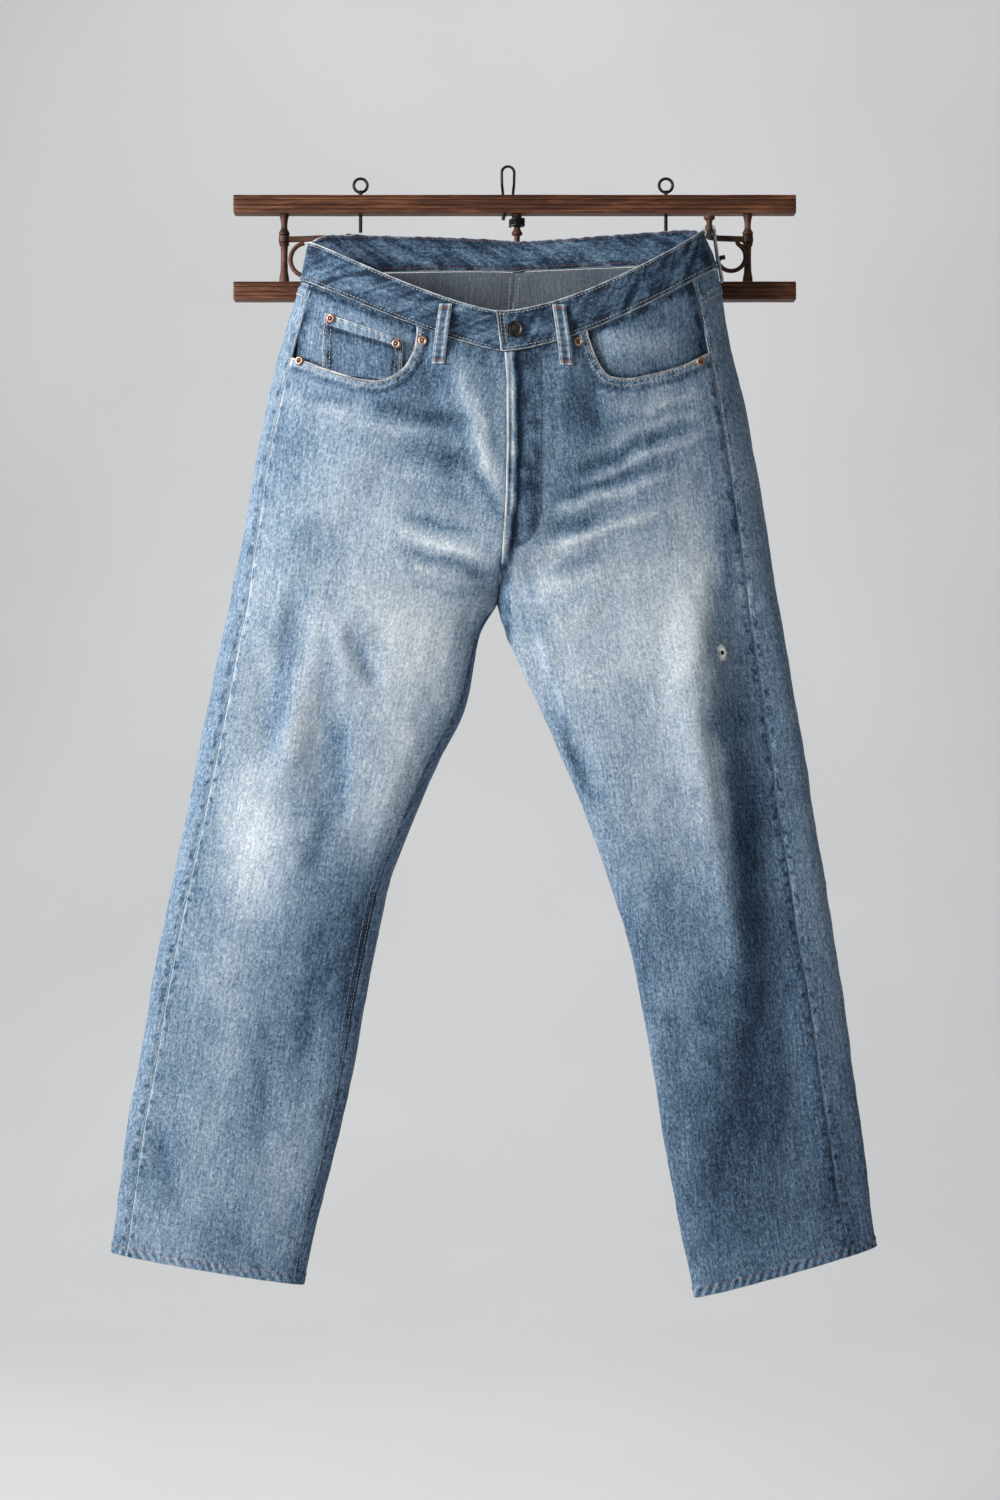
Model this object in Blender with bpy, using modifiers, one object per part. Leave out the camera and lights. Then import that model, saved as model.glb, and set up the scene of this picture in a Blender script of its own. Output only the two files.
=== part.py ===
import math

import bpy
from mathutils import Matrix, Vector

# Jeans hung from a small wall rack. Sizes are millimetres here and become metres at the end.
# The origin is the top of the rack's wire loop, X runs across the garment and -Y faces the viewer.
# Right and left are the wearer's, so the right leg lies at -X.
MM = 0.001
CLOTH_WALL = 2.0
SEAM_GAP = 0.3
HALF_GAP = SEAM_GAP / 2
BAND_PROUD = 1.0
BAND_WALL = 3.0
FLAP_LIFT = 3.6
FLAP_TOP_X = -12.4
FLAP_SLANT = 5.0
UNDERLAP_END_X = 24.0
POCKET_DEPTH = 5.2
FACING_WALL = 1.6
COIN_WALL = 1.2
COIN_LIFT = 1.1
BAG_WALL = 1.0
RIVET_RADIUS = 4.8
BUTTON_RADIUS = 8.5
YOKE_START = {"right": 1.28, "left": 1.45}
YOKE_CENTRE = 2.13
RACK_BAR_LENGTH = 590.0
RACK_BAR_CENTRE_X = 7.0
RACK_BAR_HEIGHT = 19.0
RACK_BAR_DEPTH = 18.0
RACK_BAR_Y = 0.0
UPPER_BAR_Z = -39.5
LOWER_BAR_Z = -130.4
POST_X = {"right": -235.2, "centre": 9.5, "left": 252.0}
EYE_X = {"right": -155.0, "left": 166.0}

# A row for each cross section of a leg, from the top of the waistband down to the hem.
# Outer and inner are the ends of the section seen from the front, and mid is its inner depth.
# Below the crotch the front and back share one inner end. Closed runs from 0, open to the other
# leg, to 1, a whole tube. Sag bends the section down between its ends, and a corner lifts it
# just past the side edge.
COLUMNS = ("outer_x", "outer_z", "front_x", "front_z", "back_x", "back_z", "side_y", "mid_y",
           "front_y", "back_y", "front_closed", "back_closed", "front_sag", "back_sag",
           "front_corner", "back_corner")
RIGHT_ROWS = {
    "band_top": (-206.5, -87, -7.4, -167.7, 9.3, -81.5, -32, -30, -91, -17, 0, 0, 1.36, 1.3, 0, 12),
    "waist": (-214.7, -127.8, -3.3, -209.1, 7.2, -114.4, -34, -30, -90, -19, 0, 0, 1.3, 1.2, 0, 9),
    "hip_a": (-231.4, -181.4, -1.3, -249.1, 4.2, -167.3, -32, -30, -87, -11, 0, 0, 1.2, 1.1, 0, 0),
    "hip_b": (-248.8, -248.5, -1.3, -297.2, 0, -239.5, -30, -30, -83, -5, 0, 0, 1.1, 1, 0, 0),
    "hip_c": (-263, -320.9, -2.3, -349.4, -3.1, -315.6, -28, -30, -78, -1, 0, 0, 1, 1, 0, 0),
    "hip_d": (-275.7, -393.5, -5.9, -402.8, -7.3, -394.4, -26, -30, -73, 0, 0.1, 0.02, 1, 1, 0, 0),
    "crotch_a": (-283, -426.8, -7.9, -430, -8.4, -433.9, -26, -30, -68, 0, 0.6, 0.5, 1, 1, 0, 0),
    "crotch": (-289.2, -460.1, -10.5, -456.2, -10.5, -456.2, -26, -30, -66, 0, 1, 1, 1, 1, 0, 0),
    "thigh_a": (-297.1, -495.4, -29.2, -491.4, -29.2, -491.4, -25, -29, -64, 0, 1, 1, 1, 1, 0, 0),
    "thigh_b": (-310.8, -559.9, -42.7, -562, -42.7, -562, -24, -27, -61, 1, 1, 1, 1, 1, 0, 0),
    "thigh_c": (-323.9, -625.5, -72.9, -627.4, -72.9, -627.4, -23, -26, -58, 2, 1, 1, 1, 1, 0, 0),
    "thigh_d": (-335.5, -684.9, -99.4, -688.8, -99.4, -688.8, -22, -25, -54, 2, 1, 1, 1, 1, 0, 0),
    "knee_a": (-348.1, -745.4, -122.9, -751.3, -122.9, -751.3, -21, -24, -50, 2, 1, 1, 1, 1, 0, 0),
    "knee_b": (-361.8, -808, -137, -816, -137, -816, -20, -23, -46, 2, 1, 1, 1, 1, 0, 0),
    "calf_a": (-374, -871.7, -150.1, -882.8, -150.1, -882.8, -19, -22, -43, 2, 1, 1, 1, 1, 0, 0),
    "calf_b": (-384.6, -935.4, -162.1, -950.6, -162.1, -950.6, -18, -21, -40, 2, 1, 1, 1, 1, 0, 0),
    "calf_c": (-396.3, -998.1, -177.4, -1018.7, -177.4, -1018.7, -17, -19, -37, 2, 1, 1, 1, 1, 0, 0),
    "calf_d": (-404.7, -1061, -193.6, -1081.5, -193.6, -1081.5, -16, -18, -35, 2, 1, 1, 1, 1, 0, 0),
    "hem_top": (-412.2, -1118.6, -210, -1150.8, -210, -1150.8, -15, -16, -33, 2, 1, 1, 1, 1, 0, 0),
    "hem": (-414.3, -1136.4, -213.6, -1169.6, -213.6, -1169.6, -15, -16, -32, 2, 1, 1, 1, 1, 0, 0),
}
LEFT_ROWS = {
    "band_top": (200.5, -74, -7.4, -167.7, 9.3, -81.5, -32, -30, -91, -17, 0, 0, 1.5, 1.3, -5, 5),
    "waist": (216.5, -115, -3.3, -209.1, 7.2, -114.4, -34, -30, -90, -19, 0, 0, 1.5, 1.2, 0, 8),
    "hip_a": (227.1, -176.2, -1.3, -249.1, 4.2, -167.3, -32, -30, -87, -11, 0, 0, 1.3, 1.1, 0, 0),
    "hip_b": (243.9, -248.5, -1.3, -297.2, 0, -239.5, -30, -30, -83, -5, 0, 0, 1.1, 1, 0, 0),
    "hip_c": (257.6, -320.9, -2.3, -349.4, -3.1, -315.6, -28, -30, -78, -1, 0, 0, 1, 1, 0, 0),
    "hip_d": (270.3, -393.5, -5.9, -402.8, -7.3, -394.4, -26, -30, -73, 0, 0.1, 0.02, 1, 1, 0, 0),
    "crotch_a": (275.5, -426.8, -7.9, -430, -8.4, -433.9, -26, -30, -68, 0, 0.6, 0.5, 1, 1, 0, 0),
    "crotch": (280.7, -460.1, -10.5, -456.2, -10.5, -456.2, -26, -30, -66, 0, 1, 1, 1, 1, 0, 0),
    "thigh_a": (288.1, -497.5, -0.1, -495.6, -0.1, -495.6, -25, -29, -64, 0, 1, 1, 1, 1, 0, 0),
    "thigh_b": (298.7, -559.9, 30.1, -563, 30.1, -563, -24, -27, -61, 1, 1, 1, 1, 1, 0, 0),
    "thigh_c": (309.7, -622.3, 59.2, -627.5, 59.2, -627.5, -23, -26, -58, 2, 1, 1, 1, 1, 0, 0),
    "thigh_d": (318.7, -684.8, 85.2, -691, 85.2, -691, -22, -25, -54, 2, 1, 1, 1, 1, 0, 0),
    "knee_a": (330.3, -747.4, 107.1, -755.5, 107.1, -755.5, -21, -24, -50, 2, 1, 1, 1, 1, 0, 0),
    "knee_b": (339.8, -810, 125.9, -820.2, 125.9, -820.2, -20, -23, -46, 2, 1, 1, 1, 1, 0, 0),
    "calf_a": (350.4, -872.7, 141.1, -888, 141.1, -888, -19, -22, -43, 2, 1, 1, 1, 1, 0, 0),
    "calf_b": (358.9, -935.4, 152.6, -955.8, 152.6, -955.8, -18, -21, -40, 2, 1, 1, 1, 1, 0, 0),
    "calf_c": (367.4, -998.1, 163.2, -1023.9, 163.2, -1023.9, -17, -19, -37, 2, 1, 1, 1, 1, 0, 0),
    "calf_d": (375.9, -1061, 175.8, -1090.7, 175.8, -1090.7, -16, -18, -35, 2, 1, 1, 1, 1, 0, 0),
    "hem_top": (381.3, -1111.3, 191.1, -1163.3, 191.1, -1163.3, -15, -16, -33, 2, 1, 1, 1, 1, 0, 0),
    "hem": (384.4, -1130.1, 195.2, -1183.2, 195.2, -1183.2, -15, -16, -32, 2, 1, 1, 1, 1, 0, 0),
}
LEG_ROWS = {"right": RIGHT_ROWS, "left": LEFT_ROWS}
ROW_NAMES = tuple(RIGHT_ROWS)
WAIST_ROW = ROW_NAMES.index("waist")
HEM_TOP_ROW = ROW_NAMES.index("hem_top")
HEM_ROW = ROW_NAMES.index("hem")
CROTCH_ROW = ROW_NAMES.index("crotch")
TURN_SIGN = {"right": 1, "left": -1}
FLATNESS = 0.8

# Where the seams run round the section, as the part of its width that lies between the edge
# seen from the front and the seam. A negative inner share puts the inseam on the back.
SEAM_COLUMNS = ("row", "side_share", "inner_share")
SEAMS = {
    "right": ((0, 0.045, 0.0), (1, 0.049, 0.0), (2, 0.068, 0.0), (4, 0.054, 0.0), (5, 0.060, 0.0),
              (7, 0.075, 0.0), (8, 0.078, 0.010), (10, 0.087, 0.045), (14, 0.087, 0.050),
              (19, 0.085, 0.040)),
    "left": ((0, 0.125, 0.0), (1, 0.128, 0.0), (2, 0.110, 0.0), (4, 0.112, 0.0), (7, 0.113, 0.0),
             (8, 0.118, -0.010), (9, 0.128, -0.040), (10, 0.145, -0.060), (12, 0.170, -0.060),
             (13, 0.180, -0.060), (17, 0.170, -0.055), (19, 0.135, -0.050)),
}

# The largest folds. Each runs between two points seen from the front; a positive height
# stands out from the cloth and a negative one sinks into it.
FOLD_COLUMNS = ("face", "x1", "z1", "x2", "z2", "half_width", "height")
FOLDS = {
    "right": (
        ("front", -196, -560, -190, -668, 26, -7),
        ("front", -250, -515, -256, -628, 20, -5),
        ("front", -224, -505, -222, -625, 18, 4),
        ("front", -205, -690, -236, -830, 40, 4),
        ("back", -170, -500, -215, -640, 28, 4),
        ("back", -255, -640, -265, -800, 24, -4),
        ("front", -140, -300, -225, -390, 30, 3),
    ),
    "left": (
        ("front", 188, -480, 210, -670, 34, 8),
        ("front", 210, -670, 245, -840, 34, 8),
        ("front", 236, -460, 274, -770, 26, -12),
        ("front", 274, -770, 302, -1010, 22, -8),
        ("front", 14, -500, 48, -585, 13, -5),
        ("front", 70, -600, 95, -668, 13, -5),
        ("back", 150, -520, 215, -700, 30, 4),
        ("back", 240, -700, 290, -900, 24, -4),
    ),
}

# Points of each front pocket mouth, from the waist seam round to the side seam.
POCKET_MOUTHS = {
    "right": ((-93.5, -170), (-93, -187), (-95, -201), (-100.5, -215), (-107, -224), (-119, -232),
              (-133, -236), (-149, -234.5), (-169, -228.5), (-190, -221), (-206, -214.5),
              (-222, -209), (-240, -203)),
    "left": ((79, -170), (80.5, -189), (85, -203), (90, -215), (96, -225), (105, -232.5),
             (121, -234), (144, -229.5), (167, -223), (182, -217.5), (192, -212),
             (210, -203), (240, -192)),
}
MOUTH_CORNERS = {"right": (-260, -40), "left": (250, -40)}
COIN_POCKET = ((-186.5, -166.0), (-106.5, -196.0), (-109.5, -238.0), (-191.5, -226.0))
HOLE_POINT = (220.0, -512.0)
HOLE_RADIUS = 4.2

# Belt loops: leg, face, top and bottom centre seen from the front, and how far they stand off.
LOOP_COLUMNS = ("name", "leg", "face", "x1", "z1", "x2", "z2", "rise")
BELT_LOOPS = (
    ("belt_loop_front_right", "right", "front", -63.0, -160.5, -71.0, -220.2, 3.0),
    ("belt_loop_front_left", "left", "front", 51.0, -161.5, 59.0, -221.5, 3.0),
    ("belt_loop_back_right", "right", "back", -184.0, -87.5, -187.0, -138.0, 13.0),
    ("belt_loop_back_centre", "centre", "back", 11.5, -85.0, 11.5, -136.0, 4.0),
)
LOOP_WIDTH = 13.0
LOOP_WALL = 2.0
SIDE_LOOP_Y = -30.5
SIDE_LOOP_PATH = ((203.1, -77.2), (202.3, -74.0), (202.9, -70.0), (205.6, -67.4), (209.6, -67.2),
                  (212.9, -68.8), (214.6, -72.5), (215.3, -80.0), (216.6, -90.0), (218.2, -101.0),
                  (220.3, -110.0), (221.6, -118.0), (223.2, -126.0))

RIVET_POINTS = {
    "rivet_right_waist": ("right", -86.5, -197.0),
    "rivet_right_side": ("right", -213.5, -213.0),
    "rivet_left_waist": ("left", 71.0, -198.0),
    "rivet_left_side": ("left", 196.3, -214.8),
}
COIN_RIVETS = {
    "rivet_coin_outer": (-180.0, -172.0, 0.35),
    "rivet_coin_inner": (-113.5, -199.5, 1.1),
}
BUTTON_POINT = (6.5, -187.0)

bpy.context.scene.unit_settings.system = "METRIC"
for old in list(bpy.data.objects):
    bpy.data.objects.remove(old, do_unlink=True)


def make_collection(name):
    """A new collection linked to the scene."""
    made = bpy.data.collections.new(name)
    bpy.context.scene.collection.children.link(made)
    return made


PARTS = make_collection("jeans_on_rack")
CUTTERS = make_collection("cutters")
CUTTERS.hide_render = True


# Materials
def make_material(name, colour, roughness, metallic=0.0):
    """One Principled material with plain values."""
    made = bpy.data.materials.new(name)
    made.use_nodes = True
    shader = made.node_tree.nodes["Principled BSDF"]
    shader.inputs["Base Color"].default_value = (*colour, 1.0)
    shader.inputs["Roughness"].default_value = roughness
    shader.inputs["Metallic"].default_value = metallic
    return made


MATERIALS = {
    "denim": make_material("denim", (0.28, 0.40, 0.52), 0.9),
    "pocketing": make_material("pocketing", (0.72, 0.70, 0.64), 0.9),
    "copper": make_material("copper", (0.55, 0.30, 0.18), 0.4, 1.0),
    "bronze": make_material("bronze", (0.20, 0.16, 0.12), 0.45, 1.0),
    "wood": make_material("wood", (0.24, 0.11, 0.06), 0.5),
    "iron": make_material("iron", (0.10, 0.08, 0.07), 0.6, 1.0),
    "wire": make_material("wire", (0.03, 0.03, 0.03), 0.4, 1.0),
}


# Objects and meshes
def smoothstep(low, high, value):
    """Eased step from 0 at low to 1 at high."""
    share = min(1.0, max(0.0, (value - low) / (high - low)))
    return share * share * (3 - 2 * share)


def mesh_object(name, points, faces, slot):
    """A closed smooth mesh object in metres with its faces pointing out."""
    mesh = bpy.data.meshes.new(name)
    mesh.from_pydata([tuple(c * MM for c in point) for point in points], [], faces)
    mesh.validate()
    made = bpy.data.objects.new(name, mesh)
    PARTS.objects.link(made)
    made.data.materials.append(MATERIALS[slot])
    point_faces_out(made)
    mesh.polygons.foreach_set("use_smooth", [True] * len(mesh.polygons))
    return made


def point_faces_out(obj):
    """Recalculate the normals of one object to the outside."""
    bpy.ops.object.select_all(action="DESELECT")
    obj.select_set(True)
    bpy.context.view_layer.objects.active = obj
    bpy.ops.object.mode_set(mode="EDIT")
    bpy.ops.mesh.select_all(action="SELECT")
    bpy.ops.mesh.normals_make_consistent(inside=False)
    bpy.ops.object.mode_set(mode="OBJECT")


def weld(obj, distance=0.00001):
    """Merge the points that lie together."""
    bpy.ops.object.select_all(action="DESELECT")
    obj.select_set(True)
    bpy.context.view_layer.objects.active = obj
    bpy.ops.object.mode_set(mode="EDIT")
    bpy.ops.mesh.select_all(action="SELECT")
    bpy.ops.mesh.remove_doubles(threshold=distance)
    bpy.ops.mesh.normals_make_consistent(inside=False)
    bpy.ops.object.mode_set(mode="OBJECT")


def apply_modifiers(obj):
    """Turn an object with its modifiers into a plain mesh."""
    bpy.ops.object.select_all(action="DESELECT")
    obj.select_set(True)
    bpy.context.view_layer.objects.active = obj
    bpy.ops.object.convert(target="MESH")


def combine(obj, other, operation):
    """One exact Boolean of two closed meshes, with the second one used up."""
    modifier = obj.modifiers.new("combine", "BOOLEAN")
    modifier.solver = "EXACT"
    modifier.operation = operation
    modifier.object = other
    apply_modifiers(obj)
    bpy.data.objects.remove(other, do_unlink=True)


def prism(name, outline, half_length, slot, collection=None):
    """A filled outline in XY, drawn out along Z both ways from the origin."""
    curve = bpy.data.curves.new(name, "CURVE")
    curve.dimensions = "2D"
    curve.fill_mode = "BOTH"
    curve.extrude = half_length * MM
    spline = curve.splines.new("POLY")
    spline.use_cyclic_u = True
    spline.points.add(len(outline) - 1)
    for point, (x, y) in zip(spline.points, outline):
        point.co = (x * MM, y * MM, 0.0, 1.0)
    made = bpy.data.objects.new(name, curve)
    (collection or PARTS).objects.link(made)
    apply_modifiers(made)
    weld(made)
    made.data.materials.append(MATERIALS[slot])
    return made


# Sections of the garment
def monotone(values, position):
    """Smooth curve through evenly spaced values that doesn't swing past them."""
    last = len(values) - 1
    position = min(max(position, 0.0), last)
    index = min(int(position), last - 1)
    share = position - index

    def step(k):
        return values[k + 1] - values[k]

    def slope(k):
        if k == 0:
            return step(0)
        if k == last:
            return step(last - 1)
        before = step(k - 1)
        after = step(k)
        if before * after <= 0:
            return 0.0
        return 2 * before * after / (before + after)

    square = share * share
    cube = square * share
    return ((2 * cube - 3 * square + 1) * values[index]
            + (cube - 2 * square + share) * slope(index)
            + (3 * square - 2 * cube) * values[index + 1]
            + (cube - square) * slope(index + 1))


TABLES = {
    leg: {name: [row[k] for row in rows.values()] for k, name in enumerate(COLUMNS)}
    for leg, rows in LEG_ROWS.items()
}


def section(leg, row):
    """Every column of the table at any height, the row number being a real number."""
    return {name: monotone(values, row) for name, values in TABLES[leg].items()}


def fold_height(leg, face, x, z):
    """How far the folds lift the cloth at a point seen from the front."""
    total = 0.0
    for fold_face, x1, z1, x2, z2, half_width, height in FOLDS[leg]:
        if fold_face != face:
            continue
        length_x = x2 - x1
        length_z = z2 - z1
        length = math.hypot(length_x, length_z)
        along = ((x - x1) * length_x + (z - z1) * length_z) / length
        across = ((x - x1) * length_z - (z - z1) * length_x) / length
        fade = smoothstep(-0.25, 0.3, along / length) * (1 - smoothstep(0.7, 1.25, along / length))
        total += height * fade * math.exp(-(across / half_width) ** 2)
    return total


def skin(leg, row, turn):
    """A point of the outer cloth. The turn is 0 at the side edge, positive over the front and
    negative over the back, and a whole tube closes at half a turn."""
    row_at = section(leg, row)
    if abs(turn) > math.pi:
        turn -= math.copysign(2 * math.pi, turn)
    face = "front" if turn >= 0 else "back"
    end = math.pi / 2 * (1 + row_at[face + "_closed"])
    share = min(1.0, (1 - math.cos(turn)) / (1 - math.cos(end)))
    x = row_at["outer_x"] + (row_at[face + "_x"] - row_at["outer_x"]) * share
    drop = 1 - (1 - share) ** row_at[face + "_sag"]
    lift = row_at[face + "_corner"] * (1 - math.exp(-share / 0.045)) * (1 - share) ** 0.7
    z = row_at["outer_z"] + (row_at[face + "_z"] - row_at["outer_z"]) * drop + lift
    middle = row_at["side_y"] + (row_at["mid_y"] - row_at["side_y"]) * share
    height = abs(math.sin(turn))
    y = middle + (row_at[face + "_y"] - row_at["mid_y"]) * height ** FLATNESS
    fold = fold_height(leg, face, x, z) * smoothstep(0.0, 0.45, height)
    y += -fold if face == "front" else fold * 0.6
    return Vector((x, y, z))


def end_turn(leg, face, row):
    """The turn at the inner end of the front or of the back."""
    return math.pi / 2 * (1 + section(leg, row)[face + "_closed"])


def seam_share(leg, row, column):
    """The share of the width between the edge and a seam."""
    index = SEAM_COLUMNS.index(column)
    entries = SEAMS[leg]
    for low, high in zip(entries, entries[1:]):
        if row <= high[0]:
            part = (row - low[0]) / (high[0] - low[0])
            return low[index] + (high[index] - low[index]) * max(0.0, part)
    return entries[-1][index]


def side_turn(leg, row):
    """The turn of the side seam."""
    end = end_turn(leg, "front", row)
    share = seam_share(leg, row, "side_share")
    return math.acos(1 - share * (1 - math.cos(end)))


def inner_turn(leg, row, face):
    """The turn of the inseam, or of the centre seam above the crotch."""
    end = end_turn(leg, face, row)
    share = seam_share(leg, row, "inner_share")
    shift = math.copysign(math.acos(1 - 2 * abs(share)), share)
    if face == "front":
        return end - shift
    return -end - shift


def tangent(leg, row, turn, along_turn):
    """Change of the skin point for a small step round the section or down the leg."""
    step = 0.002
    if along_turn:
        return (skin(leg, row, turn + step) - skin(leg, row, turn - step)) / (2 * step)
    low = max(0.0, row - 0.02)
    high = min(float(HEM_ROW), row + 0.02)
    return (skin(leg, high, turn) - skin(leg, low, turn)) / (high - low)


def normal(leg, row, turn):
    """Unit vector out of the cloth."""
    down = tangent(leg, row, turn, False)
    round_section = tangent(leg, row, turn, True)
    out = down.cross(round_section) * TURN_SIGN[leg]
    return out.normalized()


def turn_gap(leg, row, turn):
    """Half a seam gap as a step of the turn."""
    return HALF_GAP / max(1.0, tangent(leg, row, turn, True).length)


def turn_at(leg, face, row, x):
    """The turn of the skin point at a place across a section."""
    row_at = section(leg, row)
    end = math.pi / 2 * (1 + row_at[face + "_closed"])
    share = (x - row_at["outer_x"]) / (row_at[face + "_x"] - row_at["outer_x"])
    share = min(1.0, max(0.0, share))
    turn = math.acos(1 - share * (1 - math.cos(end)))
    return turn if face == "front" else -turn


def locate(leg, face, x, z):
    """The row and turn of the skin point at a place seen from the front."""
    low = 0.0
    high = float(HEM_ROW)
    for _ in range(30):
        row = (low + high) / 2
        if skin(leg, row, turn_at(leg, face, row, x)).z > z:
            low = row
        else:
            high = row
    return row, turn_at(leg, face, row, x)


# Thin pieces from grids
def sheet(name, grid, slot):
    """A closed thin solid from rows of (outer point, inner point) pairs."""
    count_v = len(grid)
    count_u = len(grid[0])
    points = [pair[0] for line in grid for pair in line]
    points += [pair[1] for line in grid for pair in line]
    offset = count_v * count_u
    faces = []
    for j in range(count_v - 1):
        for i in range(count_u - 1):
            a = j * count_u + i
            quad = (a, a + 1, a + 1 + count_u, a + count_u)
            faces.append(quad)
            faces.append(tuple(k + offset for k in reversed(quad)))
    border = list(range(count_u))
    border += [j * count_u + count_u - 1 for j in range(1, count_v)]
    border += [(count_v - 1) * count_u + i for i in range(count_u - 2, -1, -1)]
    border += [j * count_u for j in range(count_v - 2, 0, -1)]
    for k, here in enumerate(border):
        there = border[(k + 1) % len(border)]
        faces.append((there, here, here + offset, there + offset))
    return mesh_object(name, points, faces, slot)


def skin_pair(leg, row, turn, top, wall):
    """Outer and inner point of a wall whose top lies so far above the skin."""
    point = skin(leg, row, turn)
    out = normal(leg, row, turn)
    return point + out * top, point + out * (top - wall)


def half_pair(leg, face, row, turn, wall):
    """A wall pair of a front or back, kept on its own side of the centre seam."""
    pair = skin_pair(leg, row, turn, 0.0, wall)
    if row <= CROTCH_ROW:
        centre = section(leg, row)[face + "_x"]
        margin = HALF_GAP + 0.2 * smoothstep(5.0, 6.0, row)
        for point in pair:
            if leg == "right":
                point.x = min(point.x, centre - margin)
            else:
                point.x = max(point.x, centre + margin)
    return pair


def spread(low, high, count):
    """Evenly spaced values with both ends."""
    return [low + (high - low) * k / (count - 1) for k in range(count)]


# Fronts and backs
def yoke_row(leg, turn):
    """The row of the yoke seam, lower at the centre back."""
    share = 1 - math.cos(min(abs(turn), math.pi / 2))
    start = YOKE_START[leg]
    return start + (YOKE_CENTRE - start) * share


def panel_wall(row):
    """The cloth is doubled inward at the hem."""
    return CLOTH_WALL + smoothstep(HEM_TOP_ROW - 0.3, HEM_TOP_ROW, row)


def row_stops(top):
    """Rows for the grid of a panel, from its top edge to the hem."""
    gap = 0.004
    stops = [top + gap]
    stops += [k / 2 for k in range(math.ceil(top * 2 + 0.6), 19)]
    stops += [float(k) for k in range(10, HEM_TOP_ROW)]
    stops += [HEM_TOP_ROW, HEM_TOP_ROW + 0.5, HEM_ROW]
    return stops


def front_panel(leg, columns=13):
    """One front from the waist seam to the hem, between the side seam and the inner seam."""
    grid = []
    for row in row_stops(WAIST_ROW):
        start = side_turn(leg, row)
        stop = inner_turn(leg, row, "front")
        start += turn_gap(leg, row, start)
        stop -= turn_gap(leg, row, stop - 0.02)
        turns = spread(start, stop, columns)
        grid.append([half_pair(leg, "front", row, turn, panel_wall(row)) for turn in turns])
    return sheet("front_" + leg, grid, "denim")


def back_edges(leg, row):
    """The turns of the two edges of the back, from the side seam to the inner seam."""
    start = side_turn(leg, row)
    stop = inner_turn(leg, row, "back")
    return start - turn_gap(leg, row, start), stop + turn_gap(leg, row, stop + 0.02)


def back_panel(leg, columns=13):
    """One back from the yoke seam to the hem."""
    shares = spread(0.0, 1.0, columns)
    top_edges = back_edges(leg, 2.0)
    tops = [yoke_row(leg, top_edges[0] + (top_edges[1] - top_edges[0]) * share) for share in shares]
    base = row_stops(2.4)
    grid = []
    for stop in (0.0, 0.5, 1.2):
        line = []
        for share, top in zip(shares, tops):
            row = top + 0.004 + (base[1] - top) * stop / 1.8
            edges = back_edges(leg, row)
            turn = edges[0] + (edges[1] - edges[0]) * share
            line.append(half_pair(leg, "back", row, turn, CLOTH_WALL))
        grid.append(line)
    for row in base[1:]:
        edges = back_edges(leg, row)
        turns = [edges[0] + (edges[1] - edges[0]) * share for share in shares]
        grid.append([half_pair(leg, "back", row, turn, panel_wall(row)) for turn in turns])
    return sheet("back_" + leg, grid, "denim")


def yoke(leg, columns=13):
    """The yoke between the waist seam and the back panel."""
    grid = []
    top_edges = back_edges(leg, 2.0)
    for stop in (0.0, 0.33, 0.66, 1.0):
        line = []
        for share in spread(0.0, 1.0, columns):
            bottom = yoke_row(leg, top_edges[0] + (top_edges[1] - top_edges[0]) * share) - 0.004
            row = WAIST_ROW + 0.012 + (bottom - WAIST_ROW - 0.012) * stop
            edges = back_edges(leg, row)
            turn = edges[0] + (edges[1] - edges[0]) * share
            line.append(half_pair(leg, "back", row, turn, CLOTH_WALL))
        grid.append(line)
    return sheet("yoke_" + leg, grid, "denim")


# Waistband
def band_turn_stops(leg):
    """Turns round the waistband from the centre back to near the centre front."""
    back = [-math.pi / 2 + 0.001, -1.40, -1.2, -1.0, -0.8, -0.6, -0.45, -0.32, -0.2, -0.1]
    front = [0.0, 0.2, 0.4, 0.6, 0.8, 1.0, 1.12, 1.22, 1.3, 1.36, 1.42, 1.48]
    return back + front


def waistband(leg):
    """Half of the waistband. The left end laps over the right one at the front."""
    lapped = 1 if leg == "left" else 0
    grid = []
    for row in (0.0, 0.33, 0.66, WAIST_ROW - 0.010):
        line = []
        for turn in band_turn_stops(leg):
            shifted = max(turn, -math.pi / 2 + turn_gap(leg, row, -1.5))
            line.append(band_pair(leg, row, shifted, lapped))
        centre = skin(leg, row, math.pi / 2)
        end_x = FLAP_TOP_X + FLAP_SLANT * row if lapped else UNDERLAP_END_X
        beyond = abs(centre.x - end_x)
        for part in (0.0, 0.5, 1.0):
            line.append(band_end(leg, row, beyond * part, lapped))
        grid.append(line)
    return sheet("waistband_" + leg, grid, "denim")


def flap_lift(x, lapped):
    """How far the lapped end stands out to pass over the other end."""
    if not lapped:
        return 0.0
    return FLAP_LIFT * (1 - smoothstep(UNDERLAP_END_X + 4, UNDERLAP_END_X + 26, x))


def band_pair(leg, row, turn, lapped):
    """Outer and inner point of the waistband."""
    top = BAND_PROUD + flap_lift(skin(leg, row, turn).x, lapped and turn > 0)
    return skin_pair(leg, row, turn, top, BAND_WALL)


def band_end(leg, row, beyond, lapped):
    """Outer and inner point of a band end that runs on past the centre line."""
    point, inside = skin_pair(leg, row, math.pi / 2 - 0.001, 0.0, 1.0)
    out = (point - inside).normalized()
    if beyond > 0:
        other = "left" if leg == "right" else "right"
        row_at = section(other, row)
        share = beyond / abs(row_at["outer_x"] - row_at["front_x"])
        point = skin(other, row, math.acos(share))
    top = BAND_PROUD + (FLAP_LIFT if lapped else 0.0)
    return point + out * top, point + out * (top - BAND_WALL)


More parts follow.
